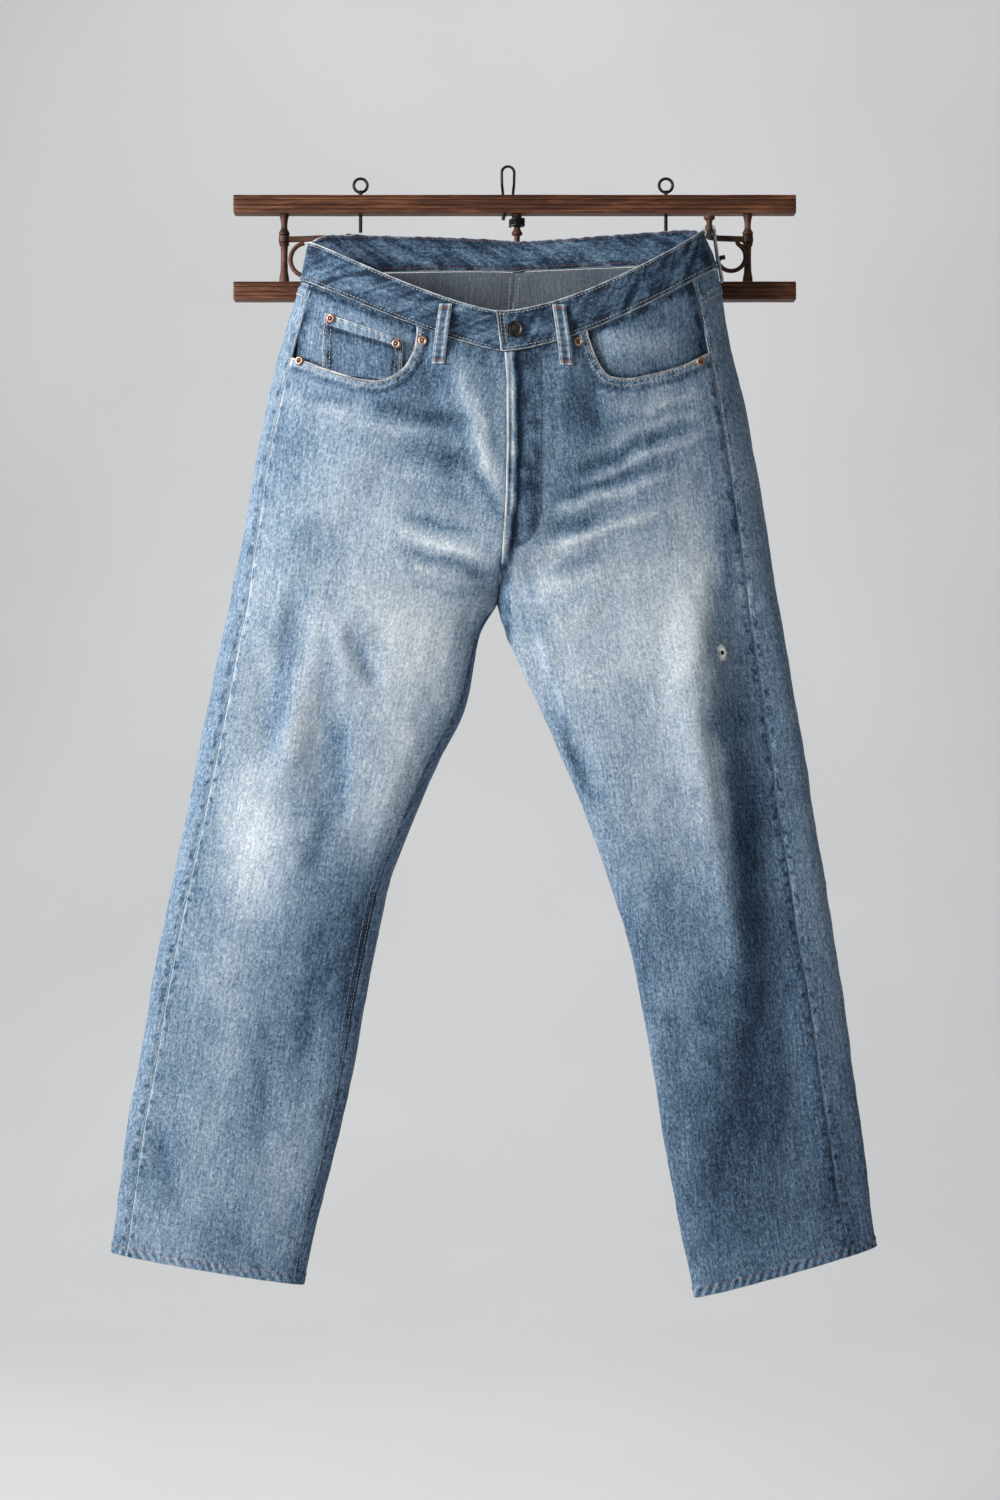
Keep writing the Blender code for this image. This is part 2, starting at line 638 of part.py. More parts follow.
# Front pockets
def mouth_distance(leg, x, z):
    """Distance from the pocket mouth, positive on the corner that the mouth cuts off."""
    points = POCKET_MOUTHS[leg]
    best = 1e9
    side = 1
    for (x1, z1), (x2, z2) in zip(points, points[1:]):
        length_x = x2 - x1
        length_z = z2 - z1
        size = length_x * length_x + length_z * length_z
        share = min(1.0, max(0.0, ((x - x1) * length_x + (z - z1) * length_z) / size))
        gap_x = x - x1 - share * length_x
        gap_z = z - z1 - share * length_z
        distance = math.hypot(gap_x, gap_z)
        if distance < best:
            best = distance
            side = math.copysign(1, length_x * gap_z - length_z * gap_x)
    if leg == "right":
        side = -side
    return best * side


def facing_top(leg, row, turn):
    """Depth of the facing under the skin: level at its seams and deep under the mouth."""
    point = skin(leg, row, turn)
    distance = mouth_distance(leg, point.x, point.z)
    return -POCKET_DEPTH * (1 - smoothstep(2, 30, distance))


def pocket_facing(leg, columns=13):
    """Cloth behind a pocket mouth, sewn in at the side seam and the waist seam."""
    grid = []
    for row in spread(WAIST_ROW + 0.004, 3.35, 11):
        start = side_turn(leg, row)
        start += turn_gap(leg, row, start)
        line = []
        for turn in spread(start, 1.27, columns):
            line.append(skin_pair(leg, row, turn, facing_top(leg, row, turn), FACING_WALL))
        grid.append(line)
    return sheet("pocket_facing_" + leg, grid, "denim")


def pocket_bag(leg, columns=9):
    """The pocket bag behind the facing, one flat ply."""
    grid = []
    top = -POCKET_DEPTH - FACING_WALL - SEAM_GAP
    for row in spread(WAIST_ROW + 0.15, 4.1, 9):
        start = side_turn(leg, row) + 0.30
        line = [skin_pair(leg, row, turn, top, BAG_WALL) for turn in spread(start, 1.22, columns)]
        grid.append(line)
    return sheet("pocket_bag_" + leg, grid, "pocketing")


def mouth_cutter(leg):
    """Prism through the front that takes off the corner beyond the pocket mouth."""
    outline = list(POCKET_MOUTHS[leg])
    corner_x, corner_z = MOUTH_CORNERS[leg]
    outline += [(corner_x, outline[-1][1] + 20), (corner_x, corner_z), (outline[0][0], corner_z)]
    cutter = prism("mouth_cutter_" + leg, outline, 90, "denim", CUTTERS)
    cutter.data.transform(Matrix(((1, 0, 0, 0), (0, 0, -1, -70 * MM), (0, 1, 0, 0), (0, 0, 0, 1))))
    return cutter


def quad_patch(name, leg, face, corners, shape, top_at, wall, slot="denim"):
    """A patch on the skin between four places seen from the front. The two leading ones are
    its top edge, and top_at gives its height above the skin."""
    (ax, az), (bx, bz), (cx, cz), (dx, dz) = corners
    count_v, count_u = shape
    grid = []
    for share_v in spread(0.0, 1.0, count_v):
        line = []
        for share_u in spread(0.0, 1.0, count_u):
            left_x = ax + (dx - ax) * share_v
            right_x = bx + (cx - bx) * share_v
            left_z = az + (dz - az) * share_v
            right_z = bz + (cz - bz) * share_v
            x = left_x + (right_x - left_x) * share_u
            z = left_z + (right_z - left_z) * share_u
            half = leg
            if leg == "centre":
                half = "left" if x > 9.3 else "right"
            row, turn = locate(half, face, x, z)
            line.append(skin_pair(half, row, turn, top_at(row, turn, share_v), wall))
        grid.append(line)
    return sheet(name, grid, slot)


def coin_pocket():
    """Small pocket on the right facing, its foot passing under the mouth."""
    wall = COIN_WALL

    def top_at(row, turn, share):
        return facing_top("right", row, turn) + COIN_LIFT + wall

    return quad_patch("coin_pocket", "right", "front", COIN_POCKET, (8, 10), top_at, wall)


BACK_POCKETS = {
    "right": ((-172, -176), (-38, -190), (-40, -318), (-182, -304)),
    "left": ((160, -174), (36, -190), (38, -318), (176, -304)),
}


def back_pocket(leg):
    """Plain patch pocket on a back panel."""
    wall = 1.6
    corners = BACK_POCKETS[leg]

    def top_at(row, turn, share):
        return SEAM_GAP + wall

    return quad_patch("back_pocket_" + leg, leg, "back", corners, (8, 8), top_at, wall)


# Fly
def fly_shield():
    """Strip behind the closed fly, across the centre line."""
    grid = []
    top = -CLOTH_WALL - SEAM_GAP
    for row in spread(WAIST_ROW + 0.03, 4.9, 12):
        centre = section("right", row)["front_x"]
        line = []
        for leg, places in (("right", (-20.0, -10.0, -1.0)), ("left", (1.0, 13.0, 26.0, 38.0))):
            for place_x in places:
                turn = turn_at(leg, "front", row, centre + place_x)
                line.append(skin_pair(leg, row, turn, top, 1.6))
        grid.append(line)
    return sheet("fly_shield", grid, "denim")


# Belt loops, rivets and button
def belt_loop(name, leg, face, x1, z1, x2, z2, rise):
    """A sewn strap that bridges the waistband."""
    half = LOOP_WIDTH / 2
    corners = ((x1 - half, z1), (x1 + half, z1), (x2 + half, z2), (x2 - half, z2))
    lapped = name == "belt_loop_front_left"

    def top_at(row, turn, share):
        on_band = 1 - smoothstep(1.05, 1.16, row)
        base = SEAM_GAP + BAND_PROUD * on_band
        if lapped:
            base += (0.4 + flap_lift(skin(leg, row, turn).x, 1)) * on_band
        bridge = smoothstep(0.06, 0.30, share) * (1 - smoothstep(0.66, 0.94, share))
        return base + LOOP_WALL + rise * bridge

    return quad_patch(name, leg, face, corners, (15, 3), top_at, LOOP_WALL)


def side_loop():
    """The loop at the left side, pulled up over the rack's arm, as a strap bent along a path."""
    grid = []
    for k, (x, z) in enumerate(SIDE_LOOP_PATH):
        before = Vector((*SIDE_LOOP_PATH[max(0, k - 1)], 0))
        after = Vector((*SIDE_LOOP_PATH[min(len(SIDE_LOOP_PATH) - 1, k + 1)], 0))
        way = (after - before).normalized()
        inward = Vector((way.y, 0, -way.x)) * LOOP_WALL
        line = []
        for y in spread(SIDE_LOOP_Y - LOOP_WIDTH / 2, SIDE_LOOP_Y + LOOP_WIDTH / 2, 3):
            point = Vector((x, y, z))
            line.append((point, point + inward))
        grid.append(line)
    return sheet("belt_loop_back_left", grid, "denim")


def turned(name, profile, slot, steps=12, collection=None):
    """A solid of revolution about Z from (radius, height) pairs, top to bottom."""
    mesh = bpy.data.meshes.new(name)
    mesh.from_pydata([(r * MM, 0.0, z * MM) for r, z in profile],
                     [(k, k + 1) for k in range(len(profile) - 1)], [])
    made = bpy.data.objects.new(name, mesh)
    (collection or PARTS).objects.link(made)
    screw = made.modifiers.new("turn", "SCREW")
    screw.axis = "Z"
    screw.steps = steps
    screw.render_steps = steps
    screw.use_merge_vertices = True
    screw.merge_threshold = 0.00001
    screw.use_smooth_shade = True
    apply_modifiers(made)
    weld(made)
    made.data.materials.append(MATERIALS[slot])
    return made


def place(obj, origin, direction=None):
    """Move an object to a place in millimetres, with its Z along a direction."""
    if direction is not None:
        turn = Vector((0, 0, 1)).rotation_difference(direction)
        obj.data.transform(turn.to_matrix().to_4x4())
    for vertex in obj.data.vertices:
        vertex.co += Vector(origin) * MM
    return obj


RIVET_PROFILE = ((0.0, 2.1), (1.3, 2.1), (1.9, 1.6), (2.6, 2.0), (3.8, 1.7),
                 (RIVET_RADIUS, 0.5), (RIVET_RADIUS, 0.0), (0.0, 0.0))
BUTTON_PROFILE = ((0.0, 2.4), (4.4, 2.4), (5.2, 1.9), (6.4, 2.9), (7.8, 2.6), (BUTTON_RADIUS, 1.3),
                  (BUTTON_RADIUS, 0.4), (7.6, 0.0), (2.3, 0.0), (2.3, -3.2), (0.0, -3.2))


def make_rivets():
    """Rivets on the pocket corners and on the coin pocket."""
    for name, (leg, x, z) in RIVET_POINTS.items():
        row, turn = locate(leg, "front", x, z)
        out = normal(leg, row, turn)
        place(turned(name, RIVET_PROFILE, "copper"), skin(leg, row, turn) + out * SEAM_GAP, out)
    for name, (x, z, lift) in COIN_RIVETS.items():
        row, turn = locate("right", "front", x, z)
        out = normal("right", row, turn)
        top = facing_top("right", row, turn) + COIN_LIFT + COIN_WALL + lift
        place(turned(name, RIVET_PROFILE, "copper"), skin("right", row, turn) + out * top, out)


def waist_button(band):
    """Button with its shank through a hole in the lapped band end."""
    row, turn = locate("left", "front", *BUTTON_POINT)
    out = normal("left", row, turn)
    top = BAND_PROUD + FLAP_LIFT + SEAM_GAP
    base = skin("left", row, turn) + out * top
    hole = turned("button_hole", ((0, 12), (2.7, 12), (2.7, -12), (0, -12)), "iron", 16, CUTTERS)
    place(hole, base, out)
    combine(band, hole, "DIFFERENCE")
    place(turned("waist_button", BUTTON_PROFILE, "bronze", 16), base, out)


# Rack
def extruded_bar(name, z):
    """Reeded wooden bar from a section with grooves along its face."""
    half_height = RACK_BAR_HEIGHT / 2
    half_depth = RACK_BAR_DEPTH / 2
    front = [(-half_depth + 1.5, -half_height), (-half_depth, -half_height + 1.5)]
    for groove in (-6.2, -1.6, 3.4, 7.2):
        front.append((-half_depth, groove - 1.0))
        front.append((-half_depth + 1.3, groove))
        front.append((-half_depth, groove + 1.0))
    front += [(-half_depth, half_height - 1.5), (-half_depth + 1.5, half_height)]
    outline = front + [(half_depth, half_height), (half_depth, -half_height)]
    bar = prism(name, outline, RACK_BAR_LENGTH / 2, "wood")
    bar.data.transform(Matrix(((0, 0, 1, RACK_BAR_CENTRE_X * MM), (1, 0, 0, RACK_BAR_Y * MM),
                               (0, 1, 0, z * MM), (0, 0, 0, 1))))
    return bar


def drill(obj, x, y, radius, low, high):
    """Upright round hole."""
    cutter = turned("drill", ((0, high), (radius, high), (radius, low), (0, low)), "iron", 16, CUTTERS)
    place(cutter, (x, y, 0))
    combine(obj, cutter, "DIFFERENCE")


def tube(name, path, radius, slot, resolution=2, collection=None):
    """Round bar along a path of points."""
    curve = bpy.data.curves.new(name, "CURVE")
    curve.dimensions = "3D"
    spline = curve.splines.new("POLY")
    spline.points.add(len(path) - 1)
    for point, place_at in zip(spline.points, path):
        point.co = (*(c * MM for c in place_at), 1.0)
    curve.bevel_depth = radius * MM
    curve.bevel_resolution = resolution
    curve.use_fill_caps = True
    made = bpy.data.objects.new(name, curve)
    (collection or PARTS).objects.link(made)
    apply_modifiers(made)
    weld(made)
    made.data.materials.append(MATERIALS[slot])
    made.data.polygons.foreach_set("use_smooth", [True] * len(made.data.polygons))
    return made


def arc(centre, radius, start, stop, count, plane="xz"):
    """Points of an arc in degrees, seen from the front or from above."""
    points = []
    for angle in spread(math.radians(start), math.radians(stop), count):
        across = radius * math.cos(angle)
        up = radius * math.sin(angle)
        if plane == "xz":
            points.append((centre[0] + across, centre[1], centre[2] + up))
        else:
            points.append((centre[0] + across, centre[1] + up, centre[2]))
    return points


BARS_GAP_TOP = UPPER_BAR_Z - RACK_BAR_HEIGHT / 2
BARS_GAP_BOTTOM = LOWER_BAR_Z + RACK_BAR_HEIGHT / 2
POST_PROFILE = ((0, -0.3), (5.0, -0.3), (4.8, -2.5), (3.6, -8.0), (3.2, -13.0), (4.4, -18.0),
                (5.6, -20.0), (5.6, -21.6), (3.0, -22.6), (3.0, -29.8), (5.4, -30.8),
                (5.4, -32.2), (3.8, -34.0), (3.6, -48.0), (3.9, -60.0), (5.0, -66.0),
                (5.2, BARS_GAP_BOTTOM - BARS_GAP_TOP + 0.3), (0, BARS_GAP_BOTTOM - BARS_GAP_TOP + 0.3))
ARM_Z = BARS_GAP_TOP - 26.2


def rack_post(side):
    """Turned iron post between the bars."""
    post = turned("rack_post_" + side, POST_PROFILE, "iron", 12)
    return place(post, (POST_X[side], RACK_BAR_Y, BARS_GAP_TOP))


def rack_arm(side):
    """Swing arm with an eye round its post, a scroll under it and a tip that holds the cloth."""
    turn = -1 if side == "left" else 1
    post_x = POST_X[side]
    y = RACK_BAR_Y - 1.0
    eye = turned("rack_arm_" + side, ((3.3, 3.3), (5.8, 3.3), (5.8, -3.3), (3.3, -3.3), (3.3, 3.3)),
                 "iron", 16)
    place(eye, (post_x, RACK_BAR_Y, ARM_Z))
    start = post_x + turn * 5.0
    if side == "left":
        stops = ((start, y), (218.0, -6.0), (210.3, -12.0), (209.0, -17.0), (209.0, -37.5), (207.9, -46.0))
    else:
        stops = ((start, y), (-215.0, -2.0), (-200.0, -5.5), (-168.0, -5.5))
    path = [(stop_x, stop_y, ARM_Z) for stop_x, stop_y in stops]
    combine(eye, tube("arm_bar", path, 3.2, "iron", 2, CUTTERS), "UNION")
    if side == "left":
        centre = (234.0, y - 5.6, ARM_Z - 19.5)
        scroll = [(240.0, y - 2.0, ARM_Z)] + arc(centre, 15.0, 62, -160, 17)
        scroll.append((centre[0] - 10.5, centre[1], ARM_Z - 20.5))
        scroll.append((centre[0] - 6.5, centre[1], ARM_Z - 20.0))
    else:
        scroll = arc((post_x + 24.2, y, ARM_Z - 21.4), 17.6, 100, 428, 21)
    combine(eye, tube("arm_scroll", scroll, 2.4, "iron", 2, CUTTERS), "UNION")
    if side == "left":
        knob = ((0, 16.5), (3.6, 15.9), (5.8, 13.6), (5.8, 11.6), (3.4, 9.6), (2.8, 6.5), (3.6, 2.8),
                (3.6, -1.0), (0, -1.0))
        tip = place(turned("arm_knob", knob, "iron", 14, CUTTERS), (207.6, -44.0, ARM_Z))
    else:
        ball = ((0, 5.2), (3.6, 3.9), (5.2, 0), (3.6, -3.9), (0, -5.2))
        tip = place(turned("arm_ball", ball, "iron", 14, CUTTERS), (-167.0, -5.5, ARM_Z))
    combine(eye, tip, "UNION")
    return eye


def eye_screw(side):
    """Ring over the upper bar with its shaft down through it."""
    x = EYE_X[side]
    name = "eye_screw_" + side
    ring = tube(name, arc((x, RACK_BAR_Y, -18.5), 7.2, -88, 268, 19), 1.6, "iron")
    shaft = ((0, -24.0), (1.9, -24.0), (1.9, -68.0), (0, -68.0))
    stem = place(turned("eye_stem", shaft, "iron", 12, CUTTERS), (x, RACK_BAR_Y, 0))
    combine(ring, stem, "UNION")
    return ring


def hanging_wire():
    """Wire with a loop on top, two legs behind the upper bar and turns round the centre post."""
    behind = RACK_BAR_Y + RACK_BAR_DEPTH / 2 + 2.4
    below = BARS_GAP_TOP - 2.4
    path = [(-5.3, -13.5, below - 6.5), (-5.2, -13.4, below - 2.5), (-3.0, -12.6, below + 0.2),
            (-3.5, -4.0, below), (-4.5, behind - 3.0, below - 0.6), (-5.2, behind + 0.2, below + 3.0),
            (-5.2, behind, -40.0), (-5.4, behind, -24.0), (-6.4, 2.0, -16.0), (-6.6, 0.0, -5.0)]
    path += arc((0.0, 0.0, -5.0), 6.6, 180, 0, 11)[1:]
    path += [(6.4, 2.0, -16.0), (5.4, behind, -24.0), (5.4, behind, -40.0), (5.4, behind, below + 3.0),
             (6.0, behind - 2.0, below - 0.5)]
    turns = 26
    post_x = POST_X["centre"]
    for k in range(turns):
        angle = math.radians(100 - 40 * k)
        height = BARS_GAP_TOP - 4.6 - k * 0.32
        path.append((post_x + 7.4 * math.cos(angle), RACK_BAR_Y + 7.4 * math.sin(angle), height))
    return tube("hanging_wire", path, 1.5, "wire")


# Garment
front_panels = {leg: front_panel(leg) for leg in ("right", "left")}
for leg, panel in front_panels.items():
    combine(panel, mouth_cutter(leg), "DIFFERENCE")
hole_cutter = turned("hole_cutter", ((0, 60), (HOLE_RADIUS, 60), (HOLE_RADIUS, -25), (0, -25)), "denim",
                     14, CUTTERS)
hole_row, hole_turn = locate("left", "front", *HOLE_POINT)
hole_out = normal("left", hole_row, hole_turn)
place(hole_cutter, skin("left", hole_row, hole_turn), hole_out)
combine(front_panels["left"], hole_cutter, "DIFFERENCE")
for leg in ("right", "left"):
    back_panel(leg)
    yoke(leg)
    pocket_facing(leg)
    pocket_bag(leg)
    back_pocket(leg)
coin_pocket()
fly_shield()
bands = {leg: waistband(leg) for leg in ("right", "left")}
for loop in BELT_LOOPS:
    belt_loop(*loop)
side_loop()
make_rivets()
waist_button(bands["left"])

# Rack
upper_bar = extruded_bar("rack_bar_upper", UPPER_BAR_Z)
lower_bar = extruded_bar("rack_bar_lower", LOWER_BAR_Z)
for side in ("right", "left"):
    drill(upper_bar, EYE_X[side], RACK_BAR_Y, 2.2, -70.0, -20.0)
    rack_arm(side)
    eye_screw(side)
for side in ("right", "centre", "left"):
    rack_post(side)
hanging_wire()

for made in CUTTERS.objects:
    made.hide_render = True
    made.display_type = "WIRE"
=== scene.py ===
import math
import bpy
import numpy as np
from mathutils import Matrix, Vector, noise
from mathutils.bvhtree import BVHTree


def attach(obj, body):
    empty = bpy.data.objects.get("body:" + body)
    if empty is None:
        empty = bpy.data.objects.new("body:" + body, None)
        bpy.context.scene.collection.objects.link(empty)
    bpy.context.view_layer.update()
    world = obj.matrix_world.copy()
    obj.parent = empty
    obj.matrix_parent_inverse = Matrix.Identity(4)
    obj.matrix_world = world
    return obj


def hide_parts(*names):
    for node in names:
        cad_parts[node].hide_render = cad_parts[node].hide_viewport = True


# Jeans hung by their back loops from a small wall rack.
# Right and left are the wearer's. Sizes are millimetres until a mesh is made.
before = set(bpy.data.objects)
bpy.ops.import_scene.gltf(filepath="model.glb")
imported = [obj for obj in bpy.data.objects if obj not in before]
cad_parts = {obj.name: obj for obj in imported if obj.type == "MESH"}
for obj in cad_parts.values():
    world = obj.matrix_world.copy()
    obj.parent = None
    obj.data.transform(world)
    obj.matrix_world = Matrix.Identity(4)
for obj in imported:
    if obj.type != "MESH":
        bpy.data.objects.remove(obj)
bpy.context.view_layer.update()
mm = 0.001

# camera, placed as the picture was taken
cameraLook = {"lens": 55.2, "place": (-0.0084, -2.418, -0.6119)}


def clearSelection():
    if bpy.context.object and bpy.context.object.mode != "OBJECT":
        bpy.ops.object.mode_set(mode="OBJECT")
    bpy.ops.object.select_all(action="DESELECT")


def pick(piece):
    clearSelection()
    piece.select_set(True)
    bpy.context.view_layer.objects.active = piece
    return piece


def editAll():
    # edit mode with everything of the active piece selected
    bpy.ops.object.mode_set(mode="EDIT")
    bpy.ops.mesh.select_all(action="SELECT")


def endFacingOut():
    # leaves edit mode with every face turned outward
    bpy.ops.mesh.select_all(action="SELECT")
    bpy.ops.mesh.normals_make_consistent(inside=False)
    bpy.ops.object.mode_set(mode="OBJECT")


def addBevel(piece, name, width, segments, degrees):
    bevel = piece.modifiers.new(name, "BEVEL")
    bevel.width = width * mm
    bevel.segments = segments
    bevel.limit_method = "ANGLE"
    bevel.angle_limit = math.radians(degrees)


def placeCamera():
    bpy.ops.object.camera_add(location=cameraLook["place"], rotation=(math.pi / 2, 0, 0))
    camera = bpy.context.object
    camera.name = "pictureCamera"
    camera.data.lens = cameraLook["lens"]
    camera.data.sensor_width = 36
    camera.data.clip_end = 50
    bpy.context.scene.camera = camera


placeCamera()
print("camera placed")


# small helpers that keep the node trees short
class Tree:
    def __init__(self, name):
        self.material = bpy.data.materials.new(name)
        self.material.use_nodes = True
        self.nodes = self.material.node_tree.nodes
        self.links = self.material.node_tree.links
        self.shader = self.nodes["Principled BSDF"]

    def put(self, socket, value):
        if isinstance(value, bpy.types.NodeSocket):
            self.links.new(value, socket)
        elif value is not None:
            socket.default_value = value

    def add(self, kind, **values):
        node = self.nodes.new(kind)
        for key, value in values.items():
            setattr(node, key, value)
        return node

    def calc(self, operation, first, second=None, third=None, clamp=False):
        node = self.add("ShaderNodeMath", operation=operation, use_clamp=clamp)
        for socket, value in zip(node.inputs, (first, second, third)):
            self.put(socket, value)
        return node.outputs[0]

    def field(self, name):
        return self.add("ShaderNodeAttribute", attribute_name=name).outputs["Fac"]

    def cloth(self):
        return self.add("ShaderNodeUVMap", uv_map="cloth").outputs[0]

    def space(self):
        return self.add("ShaderNodeTexCoord").outputs["Object"]

    def scaled(self, vector, scale, turn=(0, 0, 0), shift=(0, 0, 0)):
        node = self.add("ShaderNodeMapping")
        node.inputs["Location"].default_value = shift
        node.inputs["Rotation"].default_value = turn
        node.inputs["Scale"].default_value = scale
        self.put(node.inputs["Vector"], vector)
        return node.outputs[0]

    def noise(self, vector, scale, detail=2.0, rough=0.5, warp=0.0):
        node = self.add("ShaderNodeTexNoise")
        node.inputs["Scale"].default_value = scale
        node.inputs["Detail"].default_value = detail
        node.inputs["Roughness"].default_value = rough
        node.inputs["Distortion"].default_value = warp
        self.put(node.inputs["Vector"], vector)
        return node.outputs["Fac"]

    def ease(self, value, low, high, fromValue=0.0, toValue=1.0):
        node = self.add("ShaderNodeMapRange", interpolation_type="SMOOTHSTEP")
        for key, number in zip(("From Min", "From Max", "To Min", "To Max"), (low, high, fromValue, toValue)):
            node.inputs[key].default_value = number
        self.put(node.inputs["Value"], value)
        return node.outputs[0]

    def ramp(self, value, stops):
        node = self.add("ShaderNodeValToRGB")
        while len(node.color_ramp.elements) < len(stops):
            node.color_ramp.elements.new(0.5)
        for element, (place, colour) in zip(node.color_ramp.elements, stops):
            element.position = place
            element.color = (*colour, 1)
        self.put(node.inputs["Fac"], value)
        return node.outputs["Color"]

    def mix(self, amount, first, second, blend="MIX"):
        node = self.add("ShaderNodeMix", data_type="RGBA", blend_type=blend)
        self.put(node.inputs[0], amount)
        self.put(node.inputs[6], (*first, 1) if isinstance(first, tuple) else first)
        self.put(node.inputs[7], (*second, 1) if isinstance(second, tuple) else second)
        return node.outputs[2]

    def bump(self, height, strength, distance, below=None):
        node = self.add("ShaderNodeBump")
        node.inputs["Strength"].default_value = strength
        node.inputs["Distance"].default_value = distance
        self.put(node.inputs["Height"], height)
        if below is not None:
            self.links.new(below, node.inputs["Normal"])
        return node.outputs[0]

    def finish(self, colour, roughness, normal=None, metallic=0.0, sheen=0.0, specular=0.5,
               sheenTint=(1, 1, 1)):
        self.put(self.shader.inputs["Base Color"], (*colour, 1) if isinstance(colour, tuple) else colour)
        self.put(self.shader.inputs["Roughness"], roughness)
        self.shader.inputs["Metallic"].default_value = metallic
        self.shader.inputs["Specular IOR Level"].default_value = specular
        self.shader.inputs["Sheen Weight"].default_value = sheen
        self.shader.inputs["Sheen Roughness"].default_value = 0.5
        self.shader.inputs["Sheen Tint"].default_value = (*sheenTint, 1)
        if normal is not None:
            self.links.new(normal, self.shader.inputs["Normal"])
        return self.material


def shade(red, green, blue):
    # a colour named in everyday 0 to 255 values, made linear
    return tuple(((c / 255 + 0.055) / 1.055) ** 2.4 if c > 10 else c / 255 / 12.92 for c in (red, green, blue))


def darker(colour, share):
    return tuple(c * share for c in colour)


# washed denim: the fade field, which holds the wear and also some painted shade, runs from deep indigo at 0 to
# nearly white at 1
denimLook = {
    "colours": ((0.0, shade(34, 48, 66)), (0.2, shade(66, 87, 110)), (0.4, shade(104, 128, 151)),
                (0.6, shade(149, 166, 183)), (0.8, shade(189, 200, 209)), (1.0, shade(228, 233, 237))),
    "grain": 0.84, "grit": 0.62, "marble": 0.15, "slub": 0.42, "puckerStep": 25.0,
    "edgeWear": shade(220, 219, 214),
    "roughness": 0.93,
}


def makeDenim(name, look, marble=1.0, grain=1.0):
    tree = Tree(name)
    cloth = tree.cloth()
    # salt and pepper grain along the warp, slubs, and soft clouds of wear
    fine = tree.noise(tree.scaled(cloth, (620, 360, 1)), 1.0, 3.0, 0.62)
    grit = tree.noise(tree.scaled(cloth, (330, 190, 1)), 1.0, 2.0, 0.6)
    slub = tree.noise(tree.scaled(cloth, (420, 38, 1)), 1.0, 2.0, 0.5)
    clouds = tree.noise(tree.scaled(cloth, (46, 34, 1)), 1.0, 4.0, 0.6, 0.4)
    broad = tree.noise(tree.scaled(cloth, (11, 8, 1)), 1.0, 2.0, 0.5)
    twill = tree.add("ShaderNodeTexWave", wave_type="BANDS", bands_direction="X", wave_profile="SIN")
    twill.inputs["Scale"].default_value = 310.0
    twill.inputs["Distortion"].default_value = 2.2
    twill.inputs["Detail"].default_value = 2.0
    twill.inputs["Detail Scale"].default_value = 1.6
    tree.put(twill.inputs["Vector"], tree.scaled(cloth, (1, 1, 1), (0, 0, math.radians(28))))
    fade = tree.field("fade")
    fade = tree.calc("MULTIPLY_ADD", tree.calc("SUBTRACT", fine, 0.5), look["grain"] * grain, fade)
    fade = tree.calc("MULTIPLY_ADD", tree.calc("SUBTRACT", grit, 0.5), look["grit"] * grain, fade)
    fade = tree.calc("MULTIPLY_ADD", tree.calc("SUBTRACT", slub, 0.5), look["slub"], fade)
    fade = tree.calc("MULTIPLY_ADD", tree.calc("SUBTRACT", clouds, 0.5), look["marble"] * marble, fade)
    fade = tree.calc("MULTIPLY_ADD", tree.calc("SUBTRACT", broad, 0.5), 0.08, fade)
    fade = tree.calc("MULTIPLY_ADD", tree.calc("SUBTRACT", twill.outputs["Fac"], 0.5), 0.07, fade)
    # puckers beside the seams: short dark and pale marks that the wash leaves over the seam's layers
    seam = tree.field("seam")
    run = tree.field("run")
    wobble = tree.noise(tree.scaled(cloth, (60, 60, 1)), 1.0, 2.0, 0.5)
    drift = tree.calc("MULTIPLY", wobble, 12.0)
    phase = tree.calc("MULTIPLY_ADD", run, 2 * math.pi / look["puckerStep"], drift)
    wave = tree.calc("SINE", phase)
    near = tree.calc("MULTIPLY", tree.ease(seam, 0.8, 2.6), tree.ease(seam, 4.5, 9.5, 1.0, 0.0))
    patchy = tree.ease(tree.noise(tree.scaled(cloth, (22, 22, 1)), 1.0, 1.0, 0.5), 0.25, 0.5)
    crests = tree.ease(wave, 0.35, 0.95, 0.0, -1.0)
    spots = tree.calc("SUBTRACT", crests, tree.ease(wave, -0.9, -0.2, -0.35, 0.0))
    mark = tree.calc("MULTIPLY", tree.calc("MULTIPLY", spots, near), patchy)
    fade = tree.calc("MULTIPLY_ADD", mark, 0.15, fade)
    fade = tree.calc("MULTIPLY_ADD", near, -0.05, fade)
    colour = tree.ramp(fade, look["colours"])
    # folded edges worn to the white core
    edge = tree.calc("ADD", tree.field("edge"), tree.calc("MULTIPLY", tree.calc("SUBTRACT", fine, 0.5), 1.4))
    worn = tree.calc("MULTIPLY", tree.ease(edge, 0.4, 1.5, 1.0, 0.0), tree.ease(clouds, 0.35, 0.6, 0.35, 0.9))
    colour = tree.mix(worn, colour, look["edgeWear"])
    height = tree.calc("MULTIPLY_ADD", twill.outputs["Fac"], 0.35, tree.calc("MULTIPLY", fine, 0.9))
    weave = tree.bump(height, 0.55, 0.0007)
    ridges = tree.bump(mark, 0.8, 0.0012, weave)
    return tree.finish(colour, look["roughness"], ridges, sheen=0.05, specular=0.14)


# the inside of the cloth: its grey weft, darkened as painted shade of the hollow waist and legs
insideLook = {"weft": shade(98, 105, 115), "shadow": shade(52, 59, 70), "roughness": 0.95}


